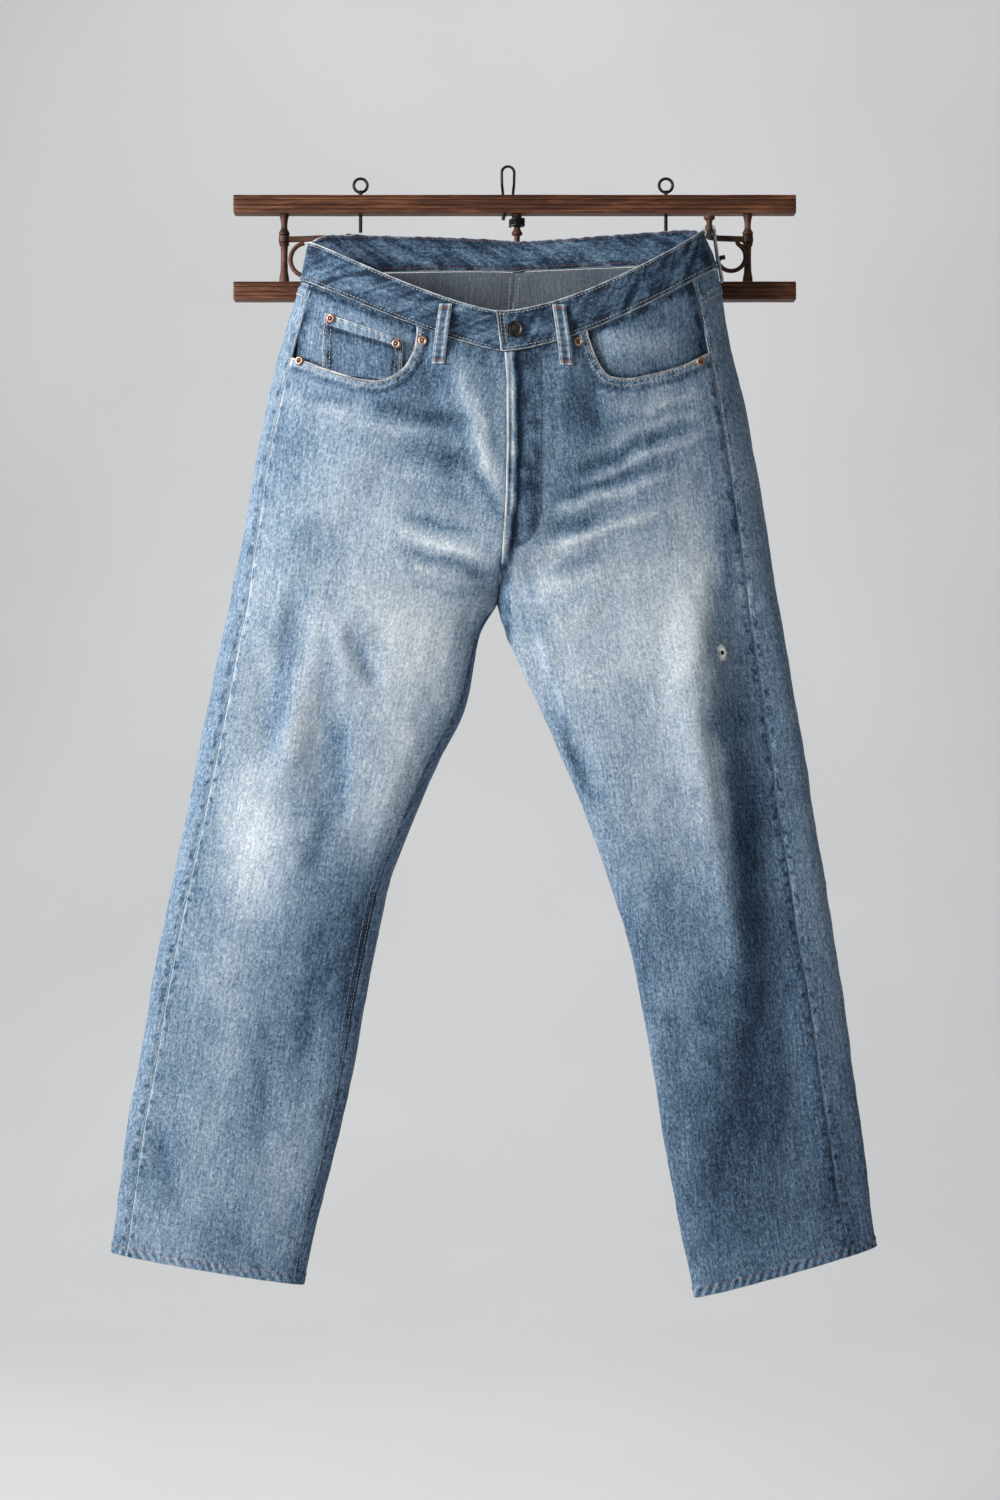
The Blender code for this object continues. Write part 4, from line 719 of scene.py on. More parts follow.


# Fades and painted shade, listed one by one and seen from the front. An oval has a centre, half sizes, a turn and
# an amount.
# A streak has two ends, a width on each side and an amount, or a height where it is a crease.
frontLook = {
    "columns": 78, "rows": 290, "base": {"right": 0.43, "left": 0.4},
    # broad wear, its dark rests, and painted shade in the troughs and folds and under the pocket mouths, the right
    # leg's first
    "ovals": (
        (-167, -478, 104, 180, 8, 0.2), (-178, -359, 50, 26, 0, 0.08), (-183, -263, 36, 14, -10, 0.17),
        (-222, -290, 22, 26, 0, -0.08), (-70, -220, 44, 34, 0, -0.13), (-258, -458, 26, 110, 8, 0.1),
        (-86, -495, 52, 84, 12, 0.26), (-136, -663, 44, 62, 20, 0.15), (-252, -637, 34, 70, -14, 0.21),
        (-269, -714, 44, 62, -8, 0.3), (-167, -853, 46, 90, 10, -0.21), (-289, -832, 34, 70, -12, 0.14),
        (-311, -1006, 62, 110, -14, 0.04), (-222, -1042, 40, 80, -10, 0.05), (-47, -396, 38, 34, 0, 0.17),
        (-109, -596, 30, 76, 14, 0.16), (-142, -812, 16, 60, 10, -0.2), (-357, -1042, 22, 56, -12, -0.1),
        (-302, -1110, 40, 24, 0, -0.09), (-178, -930, 24, 50, 8, 0.09), (-239, -755, 30, 42, 0, 0.12),
        (-318, -722, 15, 44, -6, -0.1), (-277, -560, 22, 60, -6, 0.11), (-167, -312, 30, 18, -8, 0.09),
        (-107, -239, 30, 20, 0, -0.16), (-213, -402, 24, 40, 0, -0.1), (-121, -376, 34, 40, 0, 0.07),
        (-207, -589, 15, 36, 0, 0.13), (-357, -1104, 40, 60, -12, 0.09), (-90, -499, 34, 50, 0, 0.08),
        (-142, -683, 34, 50, 8, 0.07), (-224, -1052, 34, 60, -10, 0.08), (145, -443, 90, 100, -12, 0.24),
        (182, -550, 38, 150, -12, 0.26), (98, -509, 58, 80, -20, 0.2), (199, -694, 26, 90, -8, 0.16),
        (53, -499, 36, 60, -24, 0.11), (139, -267, 62, 26, 14, 0.2), (242, -1001, 90, 170, -8, -0.22),
        (123, -673, 40, 60, -20, 0.05), (68, -258, 26, 44, 0, -0.14), (115, -663, 40, 60, -10, 0.04),
        (30, -431, 26, 26, 0, 0.28), (68, -403, 28, 16, 14, 0.12), (79, -271, 20, 24, 0, -0.2),
        (186, -356, 18, 92, -4, 0.17), (226, -417, 14, 96, -6, -0.26), (188, -546, 15, 42, 0, -0.1),
        (63, -596, 32, 30, 0, -0.07), (338, -1052, 13, 64, -8, -0.18), (260, -417, 11, 140, -7, -0.11),
        (104, -484, 44, 42, 0, -0.13), (260, -678, 16, 74, -6, -0.1), (298, -771, 15, 52, -6, -0.15),
        (168, -786, 34, 74, -8, -0.09), (147, -930, 14, 72, -10, 0.09), (243, -1104, 42, 42, 0, -0.08),
        (94, -596, 30, 40, -10, 0.07), (90, -525, 116, 116, -12, 0.08), (28, -509, 26, 90, -14, 0.05),
    ),
    # folds worn pale, with dark lines beside them that are partly painted shade of the folds and troughs, the
    # right leg's first
    "streaks": (
        (-140, -261, -39, -278, 9, 8, -0.22), (-162, -280, -70, -292, 4, 5, 0.12),
        (-113, -302, -27, -323, 9, 8, -0.15), (-131, -325, -29, -347, 5, 6, 0.1),
        (-55, -210, -7, -361, 8, 14, 0.2), (-39, -232, -4, -325, 4, 4, -0.1),
        (-111, -371, -34, -391, 5, 6, -0.2), (-106, -391, -17, -418, 4, 5, 0.2),
        (-117, -405, -19, -432, 5, 7, -0.19), (-111, -423, -29, -443, 3, 4, 0.1),
        (-101, -443, -35, -456, 3, 4, -0.11), (-213, -249, -150, -255, 5, 4, -0.14),
        (-218, -454, -244, -627, 13, 17, -0.15), (-193, -444, -228, -622, 10, 9, 0.12),
        (-176, -577, -174, -678, 12, 12, -0.13), (-183, -663, -209, -745, 10, 12, -0.1),
        (-160, -487, -134, -550, 7, 8, -0.14), (-167, -417, -121, -499, 8, 9, 0.08),
        (-275, -878, -320, -1032, 12, 10, 0.07), (-252, -868, -269, -1022, 9, 12, -0.09),
        (-195, -796, -222, -970, 11, 12, -0.08), (-39, -320, -7, -379, 5, 6, -0.17),
        (-34, -292, -8, -344, 4, 5, 0.12), (-46, -426, -12, -434, 6, 5, -0.13),
        (14, -415, 29, -454, 5, 6, -0.15), (4, -417, 9, -448, 4, 4, 0.09),
        (94, -243, 199, -224, 6, 6, -0.11), (131, -273, 199, -245, 4, 5, 0.16),
        (80, -288, 190, -259, 6, 6, -0.12), (84, -309, 199, -261, 3, 4, 0.15),
        (59, -335, 200, -273, 6, 6, -0.21), (67, -347, 206, -282, 3, 4, 0.22),
        (49, -356, 162, -321, 6, 7, -0.19), (49, -369, 164, -333, 4, 5, 0.22),
        (43, -388, 96, -375, 9, 8, -0.22), (39, -409, 158, -368, 4, 6, 0.22),
        (41, -429, 96, -413, 6, 8, -0.15), (39, -444, 98, -429, 4, 5, 0.08),
        (195, -499, 234, -730, 15, 5, 0.13), (213, -560, 250, -735, 10, 26, -0.13),
        (248, -714, 250, -1022, 15, 18, -0.12), (53, -581, 86, -663, 5, 7, -0.12),
        (33, -468, 49, -560, 5, 6, -0.12), (172, -765, 197, -950, 10, 12, 0.06),
    ),
    # small creases, which stand out where the height is positive, the right leg's first
    "creases": (
        (-55, -210, -5, -361, 9, 20, 2.2), (-70, -273, -35, -376, 14, 10, -1.6),
        (-106, -391, -17, -418, 6, 7, 1.1), (-117, -405, -17, -433, 6, 8, -1),
        (-111, -371, -34, -391, 6, 7, -0.9), (-140, -261, -39, -278, 10, 9, -0.9),
        (-90, -197, -70, -273, 8, 9, -1.8), (-220, -458, -248, -627, 10, 20, -3.4),
        (-197, -458, -213, -632, 13, 16, 1.2), (-176, -573, -174, -678, 13, 12, -3),
        (-181, -668, -209, -745, 11, 12, -2), (-162, -489, -131, -560, 8, 12, -2.4),
        (-176, -478, -160, -560, 9, 9, 1.5), (-2, -438, 22, -499, 6, 6, 1.4),
        (-367, -1001, -334, -1099, 12, 10, -2), (-311, -950, -326, -1042, 14, 14, 1.6),
        (-244, -909, -256, -1052, 12, 18, -1.6), (-198, -827, -213, -981, 10, 14, -1.6),
        (-226, -1073, -213, -1134, 8, 8, -1.8), (-111, -622, -140, -745, 16, 14, 1.6),
        (67, -347, 206, -282, 5, 6, 1), (59, -333, 200, -271, 7, 8, -1.1), (49, -356, 162, -321, 7, 8, -1),
        (39, -409, 158, -368, 6, 7, 1), (43, -388, 96, -375, 8, 8, -1.1), (49, -369, 164, -333, 5, 6, 0.8),
        (84, -204, 94, -284, 9, 8, -1.6), (59, -212, 53, -284, 9, 9, 1.4),
        (197, -417, 188, -560, 18, 12, 1.8), (188, -550, 213, -714, 18, 9, 3.4),
        (213, -714, 240, -853, 16, 10, 2.8), (213, -478, 219, -622, 14, 24, -1.2),
        (238, -632, 260, -827, 14, 22, -3.2), (268, -827, 243, -981, 18, 14, -2.8),
        (243, -970, 219, -1073, 14, 14, -1.8), (12, -458, 49, -581, 5, 8, -1.8),
        (53, -581, 84, -663, 5, 8, -1.8), (28, -478, 53, -550, 9, 7, 1.6),
        (135, -745, 186, -878, 16, 14, 1.6), (115, -765, 145, -888, 12, 12, -1.4),
        (186, -991, 197, -1104, 12, 14, 1.6),
    ),
}
backLook = {
    "columns": 70, "rows": 250, "base": {"right": 0.44, "left": 0.39},
    # broad wear and its dark rests, the right leg's first
    "ovals": (
        (-115, -330, 82, 95, 0, 0.26), (-185, -600, 60, 170, 12, 0.2), (-270, -1000, 60, 110, 10, 0.06),
        (110, -335, 84, 95, 0, 0.26), (160, -600, 60, 170, -12, 0.2), (260, -1000, 60, 110, -10, 0.06),
    ),
    # folds worn pale, with dark lines beside them, the right leg's first
    "streaks": (
        (-66, -474, -186, -440, 7, 9, -0.09), (-60, -494, -176, -468, 5, 7, 0.08),
        (-156, -764, -290, -748, 9, 7, -0.08), (-168, -796, -296, -780, 6, 8, 0.07),
        (50, -478, 196, -446, 8, 7, -0.1), (72, -500, 190, -470, 6, 5, 0.08),
        (134, -778, 262, -756, 8, 9, -0.07), (150, -806, 280, -784, 7, 5, 0.06),
    ),
    # small creases, which stand out where the height is positive, the right leg's first
    "creases": (
        (-66, -474, -186, -440, 9, 12, -1.6), (-60, -496, -200, -468, 10, 10, 1.8),
        (-156, -764, -290, -748, 12, 10, -1.6), (-168, -802, -296, -782, 9, 11, 1.2),
        (-92, -556, -170, -540, 8, 9, -1), (-190, -520, -215, -700, 14, 18, 1.6),
        (-240, -880, -280, -1060, 12, 16, -1.8), (50, -478, 196, -446, 11, 9, -1.8),
        (60, -500, 200, -466, 10, 10, 1.8), (134, -778, 262, -756, 11, 13, -1.4),
        (150, -810, 280, -784, 10, 8, 1), (96, -566, 160, -545, 9, 7, -1),
        (200, -520, 225, -700, 14, 18, 1.6), (230, -880, 270, -1060, 12, 16, -1.8),
    ),
}
pocketMouths = {
    "right": ((-93.5, -170), (-93, -187), (-95, -201), (-100.5, -215), (-107, -224), (-119, -232), (-133, -236),
              (-149, -234.5), (-169, -228.5), (-190, -221), (-206, -214.5), (-222, -209), (-240, -203)),
    "left": ((79, -170), (80.5, -189), (85, -203), (90, -215), (96, -225), (105, -232.5), (121, -234),
             (144, -229.5), (167, -223), (182, -217.5), (192, -212), (210, -203), (240, -192)),
}
hemHeight = 12.0


def mouthCurve(leg, steps=110):
    points = np.array(pocketMouths[leg], float)
    place = np.linspace(0, len(points) - 1, steps)
    return np.stack((smoothCurve(points[:, 0], place), smoothCurve(points[:, 1], place)), -1)


def mouthDistance(leg, x, z):
    # distance from the pocket mouth, positive on the corner that it cuts off
    curve = mouthCurve(leg)
    best = np.full(x.shape, 1e9)
    side = np.ones(x.shape)
    for (x1, z1), (x2, z2) in zip(curve, curve[1:]):
        size = (x2 - x1) ** 2 + (z2 - z1) ** 2
        share = np.clip(((x - x1) * (x2 - x1) + (z - z1) * (z2 - z1)) / size, 0, 1)
        gapX = x - x1 - share * (x2 - x1)
        gapZ = z - z1 - share * (z2 - z1)
        distance = np.hypot(gapX, gapZ)
        closer = distance < best
        best = np.where(closer, distance, best)
        side = np.where(closer, np.sign((x2 - x1) * gapZ - (z2 - z1) * gapX), side)
    return best * side * (-1 if leg == "right" else 1)


def quadPoint(corners, u, v):
    # a place within four corners, u across and v down
    (ax, az), (bx, bz), (cx, cz), (dx, dz) = corners
    leftX, rightX = ax + (dx - ax) * v, bx + (cx - bx) * v
    leftZ, rightZ = az + (dz - az) * v, bz + (cz - bz) * v
    return leftX + (rightX - leftX) * u, leftZ + (rightZ - leftZ) * u


def quadGrid(corners, rows, columns):
    v, u = np.meshgrid(np.linspace(0, 1, rows), np.linspace(0, 1, columns), indexing="ij")
    return quadPoint(corners, u, v)


def keepSide(leg, points, centre):
    # the X of points, held on their own side of the centre seam
    x = points[..., 0]
    return np.minimum(x, centre - 0.1) if leg == "right" else np.maximum(x, centre + 0.1)


def hemRopes(across, fromHem):
    # the twisted ridges that washing leaves in a folded hem
    wobble = 1.3 * np.sin(across / 17.0) + 0.9 * np.sin(across / 7.3 + 1.0)
    wave = np.sin(2 * math.pi * (across + 0.7 * fromHem + wobble) / 9.4)
    return wave * easeStep(0.0, 2.0, fromHem) * fallStep(9.0, hemHeight, fromHem)


def panelRows(leg, top, count):
    # rows for a panel, even down the leg and closer at the hem
    fine = np.linspace(top, hemRow, 1200)
    run = runOf(skin(leg, fine, np.full(fine.shape, 0.9)))
    weight = np.concatenate(([0.0], np.cumsum(np.diff(run) * np.where(run[1:] > run[-1] - 26, 2.2, 1.0))))
    return np.interp(np.linspace(0, weight[-1], count), weight, fine)


def panelGrid(leg, face, top, rowCount, columns):
    rows = panelRows(leg, top, rowCount)
    gap = 0.0006 if face == "front" else -0.0006
    return rows, evenTurns(leg, rows, sideTurn(leg, rows) + gap, innerTurn(leg, rows, face) - gap, columns)


hole = {"x": 220.0, "z": -512.0, "radius": 4.3}


def makeLegPanel(leg, face):
    look = frontLook if face == "front" else backLook
    rows, turns = panelGrid(leg, face, 1.004 if face == "front" else 2.4, look["rows"], look["columns"])
    rowGrid = np.broadcast_to(rows[:, None], turns.shape)
    if face == "back":
        # above the first row the back runs up to the slanted yoke seam
        extra = 16
        tops = yokeRow(leg, turns[0]) + 0.004
        parts = np.linspace(0, 1, extra, endpoint=False)[:, None]
        upper = tops[None, :] + (rows[0] - tops[None, :]) * parts
        rowGrid = np.concatenate((upper, rowGrid))
        turns = np.concatenate((np.broadcast_to(turns[0], upper.shape), turns))
    grid = skin(leg, rowGrid, turns)
    toward = np.array([0, -1 if face == "front" else 1, 0.0])
    across, down = lengthsOf(grid)
    total = across[:, -1:]
    fromHem = down[-1:] - down
    x, z = grid[..., 0], grid[..., 2]
    side = across
    inner = total - across
    # the borders of the laid wear and painted shade wander, as they do where cloth has creased
    drift = 6.0 * cloudField(grid, (34, 30, 34), 1.3, 2)
    rise = 5.0 * cloudField(grid, (30, 30, 26), 6.2, 2) + 1.2 * cloudField(grid, (9, 9, 9), 2.9)
    fade = look["base"][leg] + ovalField(look["ovals"], x + drift, z + rise)
    fade += streakField(look["streaks"], x + drift, z + rise)
    fade += 0.03 * cloudField(grid, (7, 7, 16), 4.9) + 0.05 * cloudField(grid, (34, 34, 50), 9.4, 2)
    relief = streakField(look["creases"], x, z)
    relief += 0.9 * cloudField(grid, (46, 46, 90), 3.1 if face == "front" else 8.4, 2)
    relief += 0.35 * cloudField(grid, (13, 13, 24), 5.7)
    # the dry crumple of worn cloth, in low ridges that meet at corners
    crumple = np.abs(cloudField(grid, (30, 40, 38), 12.9 if leg == "left" else 2.6, 2))
    crumple = 1.1 * (0.28 - crumple) + 0.5 * (0.22 - np.abs(cloudField(grid, (15, 20, 17), 7.3)))
    relief += crumple * easeStep(0.0, 60.0, down)
    # seams are flatter, with the layers under them showing as a low step
    nearSide = np.minimum(side, inner if face == "back" else inner + 3)
    relief *= 0.25 + 0.75 * easeStep(2.0, 26.0, nearSide)
    relief += 0.5 * fallStep(8.5, 11.5, side) + 0.4 * fallStep(8.5, 11.5, inner)
    relief -= 0.7 * fallStep(0.0, 1.6, side)
    ropes = hemRopes(across, fromHem) * (0.65 + 0.6 * cloudField(grid, (22, 22, 22), 4.4))
    relief += 0.8 * fallStep(hemHeight - 1.0, hemHeight + 1.0, fromHem) + 0.55 * ropes
    fade += 0.22 * ropes - 0.06 * fallStep(0.0, 30.0, fromHem) * fallStep(2, 3, -fromHem)
    # colour follows the relief: paler where the cloth stands up, as worn, and darker in its hollows, as painted
    # shade
    fade += 0.03 * np.clip(relief, -2.5, 2.5)
    # painted shade along each leg's right-hand flank, which turns away from the key light
    paintedShadeEdge = inner if leg == "right" else side
    fade -= (0.17 if leg == "right" else 0.10) * fallStep(2, 26, paintedShadeEdge) * (rowGrid > 7.4)
    fade += 0.12 * fallStep(0.5, 3.0, side) * (leg == "right")
    seam = np.minimum(side, inner + 5.0)
    if (leg, face) == ("left", "back"):
        fade += np.interp(-z, [600, 800, 1050], [0.05, 0.08, -0.08])
    if face == "front":
        waistGather = np.sin(across / 2.3 + 2.0 * np.sin(across / 19.0)) * fallStep(2.0, 22.0, down)
        relief += 0.4 * waistGather
        fade += 0.05 * waistGather - 0.10 * fallStep(4.0, 26.0, down)
        mouth = mouthDistance(leg, x, z)
        inside = -mouth
        relief += 0.8 * fallStep(8.2, 10.2, inside) - 0.5 * bell(inside, 11.5, 2.0)
        # the mouth's hem: a white worn lip, twisted puckers between its two rows, a dark line below
        twist = np.sin((across * 1.1 + inside) / 1.15 + 1.2 * np.sin(across / 9.0))
        inHem = easeStep(1.5, 3.5, inside) * fallStep(8.0, 10.0, inside)
        relief += 0.28 * twist * inHem
        fade += (0.10 + 0.09 * twist) * inHem - 0.24 * bell(inside, 11.3, 2.2)
        edge = np.minimum(np.maximum(inside * 0.55, 0.0), side * 1.2 + 0.25)
        flyHigh = fallStep(414, 426, -z)
        # the seat seam shows dark from the fly's foot to the crotch
        fade -= 0.34 * bell(inner, 0.8, 2.8) * easeStep(404, 420, -z) * (rowGrid < 7.2)
        seam = np.where((inner < 20) & (rowGrid < 7), np.maximum(side, 20), seam)
        mouthSeam = np.abs(inside - 4.5) + 1.2
        seam = np.minimum(seam, np.where(inside < 10, mouthSeam, 99.0))
        if leg == "left":
            # the fly's facing is sewn behind this front, so its outline shows as a low step
            flyEdge = flyLine(z) - x
            insideFly = easeStep(-1.5, 1.5, flyEdge) * fallStep(540, 575, -z)
            relief += 0.7 * insideFly + 0.25 * insideFly * np.sin(down / 3.1 + np.sin(across / 9.0))
            # the folded edge of the fly stands up, worn white along both its sides
            ruffle = 0.6 * np.sin(down / 9.0 + 1.6 * np.sin(down / 31.0))
            ruffle += np.interp(-z, [335, 350, 372, 388, 425], [0.0, 1.3, 0.9, 2.4, 4.0])
            ridge = 2.4 * fallStep(9.2, 11.4, inner + ruffle)
            relief += flyHigh * (ridge - 1.0 * bell(inner + 0.5 * ruffle, 3.2, 1.0))
            edge = np.where(flyHigh > 0.5, np.minimum(edge, inner * 0.6 - 0.1), edge)
            pale = 0.30 * fallStep(9.0, 11.0, inner + ruffle) + 0.22 * bell(inner + ruffle, 5.6, 1.4)
            dark = 0.42 * bell(inner + 0.5 * ruffle, 3.2, 0.9) * easeStep(255, 275, -z)
            dark += 0.34 * bell(inner + ruffle, 12.9, 2.2)
            fade += flyHigh * (pale - dark)
            shadow = 0.17 + 0.10 * easeStep(290, 350, -z) + 0.26 * cloudField(grid, (10, 10, 15), 6.1)
            fade -= shadow * insideFly - 0.04 * bell(flyEdge, 3.0, 2.2)
    else:
        edge = np.full(x.shape, 99.0)
        relief += 0.5 * fallStep(8.5, 10.5, inner) * (rowGrid < 7)
    edge = np.minimum(edge, fromHem * 1.1 + 0.35)
    wallShare = 0.667 + 0.333 * fallStep(hemHeight - 1.5, hemHeight + 1.5, fromHem)
    normals = gridNormals(grid, toward)
    shaped = grid + normals * relief[..., None]
    # the centre seam stays on its own side
    held = keepSide(leg, shaped, section(leg, rowGrid)[face + "X"])
    shaped[..., 0] = np.where(rowGrid <= 7, held, shaped[..., 0])
    uv = np.stack((across + (0 if leg == "right" else 900), -down), -1)
    fields = {"fade": fade, "seam": seam, "run": down, "edge": edge}
    name = face + "Panel" + leg.title()
    return clothSheet(name, shaped, toward, 3.0, (denim, denimInside), fields, uv, 0.5, wallShare)


def yokeRow(leg, turn):
    # the row of the slanted yoke seam
    start = {"right": 1.28, "left": 1.45}[leg]
    return start + (2.13 - start) * (1 - np.cos(np.minimum(np.abs(turn), math.pi / 2)))


def flyLine(z):
    # right-hand edge of the fly's double row, a long J that curves in to the crotch
    return np.interp(-z, [213, 360, 382, 396, 404, 410], [33.5, 33.5, 31, 23, 12, 2])


def cutWith(panel, cutter):
    cut = panel.modifiers.new("cut", "BOOLEAN")
    cut.operation = "DIFFERENCE"
    cut.solver = "EXACT"
    cut.object = cutter
    applyAll(panel)
    bpy.data.objects.remove(cutter, do_unlink=True)


def prismThrough(name, outline, near, far):
    # a filled outline seen from the front, drawn straight back by an extrude
    clearSelection()
    mesh = bpy.data.meshes.new(name)
    mesh.from_pydata([(x * mm, near * mm, z * mm) for x, z in outline], [], [tuple(range(len(outline)))])
    cutter = bpy.data.objects.new(name, mesh)
    bpy.context.scene.collection.objects.link(cutter)
    pick(cutter)
    editAll()
    bpy.ops.mesh.extrude_region_move(TRANSFORM_OT_translate={"value": (0, (far - near) * mm, 0)})
    endFacingOut()
    return cutter


def mouthPrism(leg):
    curve = [tuple(p) for p in mouthCurve(leg)]
    corner = -260 if leg == "right" else 250
    outline = curve + [(corner, curve[-1][1] + 20), (corner, -40), (curve[0][0], -40)]
    return prismThrough("mouthCutter", outline, -160, 20)


def cutHole(panel):
    outline = []
    for k in range(26):
        angle = 2 * math.pi * k / 26
        reach = hole["radius"] * (1 + 0.10 * math.sin(3 * angle + 1) + 0.06 * math.sin(7 * angle))
        outline.append((hole["x"] + reach * math.cos(angle) * 0.86, hole["z"] + reach * math.sin(angle)))
    cutWith(panel, prismThrough("holeCutter", outline, -120, -40))


# every finished piece, under the name of the node that it replaces
pieces = {}
for leg in ("right", "left"):
    for face in ("front", "back"):
        pieces[face + "_" + leg] = makeLegPanel(leg, face)
    cutWith(pieces["front_" + leg], mouthPrism(leg))
cutHole(pieces["front_left"])
for piece in pieces.values():
    pick(piece)
    bpy.ops.object.shade_smooth_by_angle(angle=math.radians(50))
print("fronts and backs made")


# waistband, one strip from the lapped end round to the underlap
bandLook = {"wall": 3.0, "proud": 1.0, "flapLift": 3.6, "rows": 26, "columns": 560, "base": 0.19,
            "roundEdge": 1.1}
underlapX = 24.0
loopWidth = 13.0
waistRow = 1.0
pocketDepth = 5.2


def flapLift(x):
    return bandLook["flapLift"] * fallStep(underlapX + 4, underlapX + 26, x)


def bandCrossed(other, row, beyond):
    at = section(other, row)
    share = np.clip(beyond / np.abs(at["outerX"] - at["frontX"]), 0, 0.999)
    return skin(other, row, np.arccos(share))


def bandLine(row):
    # outer points of one row of the band with their normals, from the flap round the left side,
    # over the back and round the right side to the underlap
    endX = -12.4 + 5.0 * row
    points = []
    lifts = []
    centreLeft = skin("left", row, np.array(math.pi / 2))
    for beyond in np.linspace(abs(float(centreLeft[0]) - endX), 0.6, 8):
        points.append(bandCrossed("right", np.array(row), np.array(beyond)))
        lifts.append(bandLook["flapLift"])
    for leg in ("left", "right"):
        turns = np.linspace(math.pi / 2 - 0.004, -math.pi / 2 + 0.004, 460)
        if leg == "right":
            turns = -turns
        line = skin(leg, np.full(turns.shape, row), turns)
        for point, turn in zip(line, turns):
            points.append(point)
            lifts.append(float(flapLift(point[0])) if leg == "left" and turn > 0 else 0.0)
    centreRight = skin("right", row, np.array(math.pi / 2))
    for beyond in np.linspace(0.6, abs(float(centreRight[0]) - underlapX), 8):
        points.append(bandCrossed("left", np.array(row), np.array(beyond)))
        lifts.append(0.0)
    return np.array(points), np.array(lifts)


def makeWaistband():
    look = bandLook
    rows = np.linspace(0.0, 0.985, look["rows"])
    lines = []
    liftLines = []
    for row in rows:
        points, lifts = bandLine(float(row))
        steps = runOf(points)
        wanted = np.linspace(0, steps[-1], look["columns"])
        lines.append(pointsAt(steps, points, wanted))
        liftLines.append(np.interp(wanted, steps, lifts))
    grid = np.array(lines)
    lift = np.array(liftLines)
    normals = gridNormals(grid, np.array([0, 0, 0.0]))
    middle = look["columns"] // 8
    if normals[5, middle, 1] > 0:
        normals = -normals
    across, down = lengthsOf(grid)
    total = down[-1, 0]
    front = grid[..., 1] < -45
    # soft slanted ripples where the band has shrunk on its lining, strongest at the edges
    wobble = 5.0 * np.sin(across / 37.0) + 3.0 * np.sin(across / 15.0 + 2.0)
    lumps = np.stack((across + 0.7 * down + wobble, down, 0 * down), -1)
    ripple = 2.2 * (0.24 - np.abs(cloudField(lumps, (9.5, 21.0, 1.0), 3.7, 1)))
    ripple += 0.9 * cloudField(lumps, (13, 12, 1), 1.7) + 0.5 * cloudField(lumps, (34, 16, 1), 9.1)
    edgeShare = np.minimum(down, total - down)
    ripples = ripple * (0.6 + 0.4 * fallStep(4.0, 14.0, edgeShare))
    clouds = cloudField(grid, (34, 34, 12), 4.2, 2)
    relief = look["proud"] + lift + 0.72 * ripples + 0.5 * clouds
    relief -= 0.55 * bell(edgeShare, 3.2, 1.1)
    relief += 0.35 * bell(edgeShare, 1.2, 1.2)
    # the colour follows the ripples and clouds: paler on their crests, as worn, and darker between them, as
    # painted shade
    fade = look["base"] + 0.26 * ripples + 0.10 * clouds + 0.02 * (grid[..., 1] > -45)
    fade += 0.04 * easeStep(9.0, 17.0, edgeShare) - 0.10 * bell(edgeShare, 3.6, 1.6)
    # a pale worn top edge; darker on the front right of x 60, painted shade on the side away from the key light
    fade += 0.16 * fallStep(1.0, 3.0, down) - 0.05 * (grid[..., 0] > 60) * front
    relief -= 0.4 * bell(across, 3.2, 1.0)
    fade -= 0.12 * bell(across, 4.2, 1.5)
    edge = np.minimum(down + 0.05, (total - down) * 1.2 + 0.35)
    edge = np.minimum(np.minimum(edge, across * 0.8 - 0.1), across[:, -1:] - across + 0.5)
    shaped = grid + normals * relief[..., None]
    # the grain runs along the band, square to its middle row
    half = look["rows"] // 2
    way = np.gradient(grid[half], axis=0)
    way /= np.linalg.norm(way, axis=-1, keepdims=True)
    along = across[half][None] + ((grid - grid[half][None]) * way[None]).sum(-1)
    uv = np.stack((2000 - down, along), -1)
    fields = {"fade": fade, "seam": np.full(fade.shape, 99.0), "run": across, "edge": edge}
    materials = (bandDenim, denim)
    return clothSheet("waistband", shaped, normals, look["wall"], materials, fields, uv, look["roundEdge"])


pieces["waistband"] = makeWaistband()
print("waistband made")


# a turned solid of revolution from a profile, made with a spin
def turnedPiece(name, profile, steps, material, angle=2 * math.pi):
    clearSelection()
    bpy.ops.mesh.primitive_plane_add(size=0.002)
    piece = bpy.context.object
    piece.name = name
    bpy.ops.object.mode_set(mode="EDIT")
    bpy.context.tool_settings.mesh_select_mode = (True, False, False)
    bpy.ops.mesh.select_all(action="SELECT")
    bpy.ops.mesh.merge(type="CENTER")
    for (r1, z1), (r2, z2) in zip(((0, 0),) + tuple(profile), profile):
        bpy.ops.mesh.extrude_region_move(TRANSFORM_OT_translate={"value": ((r2 - r1) * mm, 0, (z2 - z1) * mm)})
    bpy.ops.mesh.select_all(action="SELECT")
    bpy.ops.mesh.spin(steps=steps, angle=angle, center=(0, 0, 0), axis=(0, 0, 1))
    bpy.ops.mesh.select_all(action="SELECT")
    bpy.ops.mesh.remove_doubles(threshold=0.000008)
    endFacingOut()
    piece.data.materials.append(material)
    bpy.ops.object.shade_smooth_by_angle(angle=math.radians(40))
    return piece


def settle(piece, origin, direction, spinTurn=0.0):
    # move a finished piece to a place in millimetres, its Z along a direction
    turn = Vector((0, 0, 1)).rotation_difference(Vector(direction)).to_matrix().to_4x4()
    piece.data.transform(turn @ Matrix.Rotation(spinTurn, 4, "Z"))
    piece.data.transform(Matrix.Translation(Vector(origin) * mm))
    return piece


def join(parts, name):
    clearSelection()
    for piece in parts:
        piece.select_set(True)
    bpy.context.view_layer.objects.active = parts[0]
    bpy.ops.object.join()
    bpy.context.object.name = name
    bpy.context.object.data.name = name
    return bpy.context.object


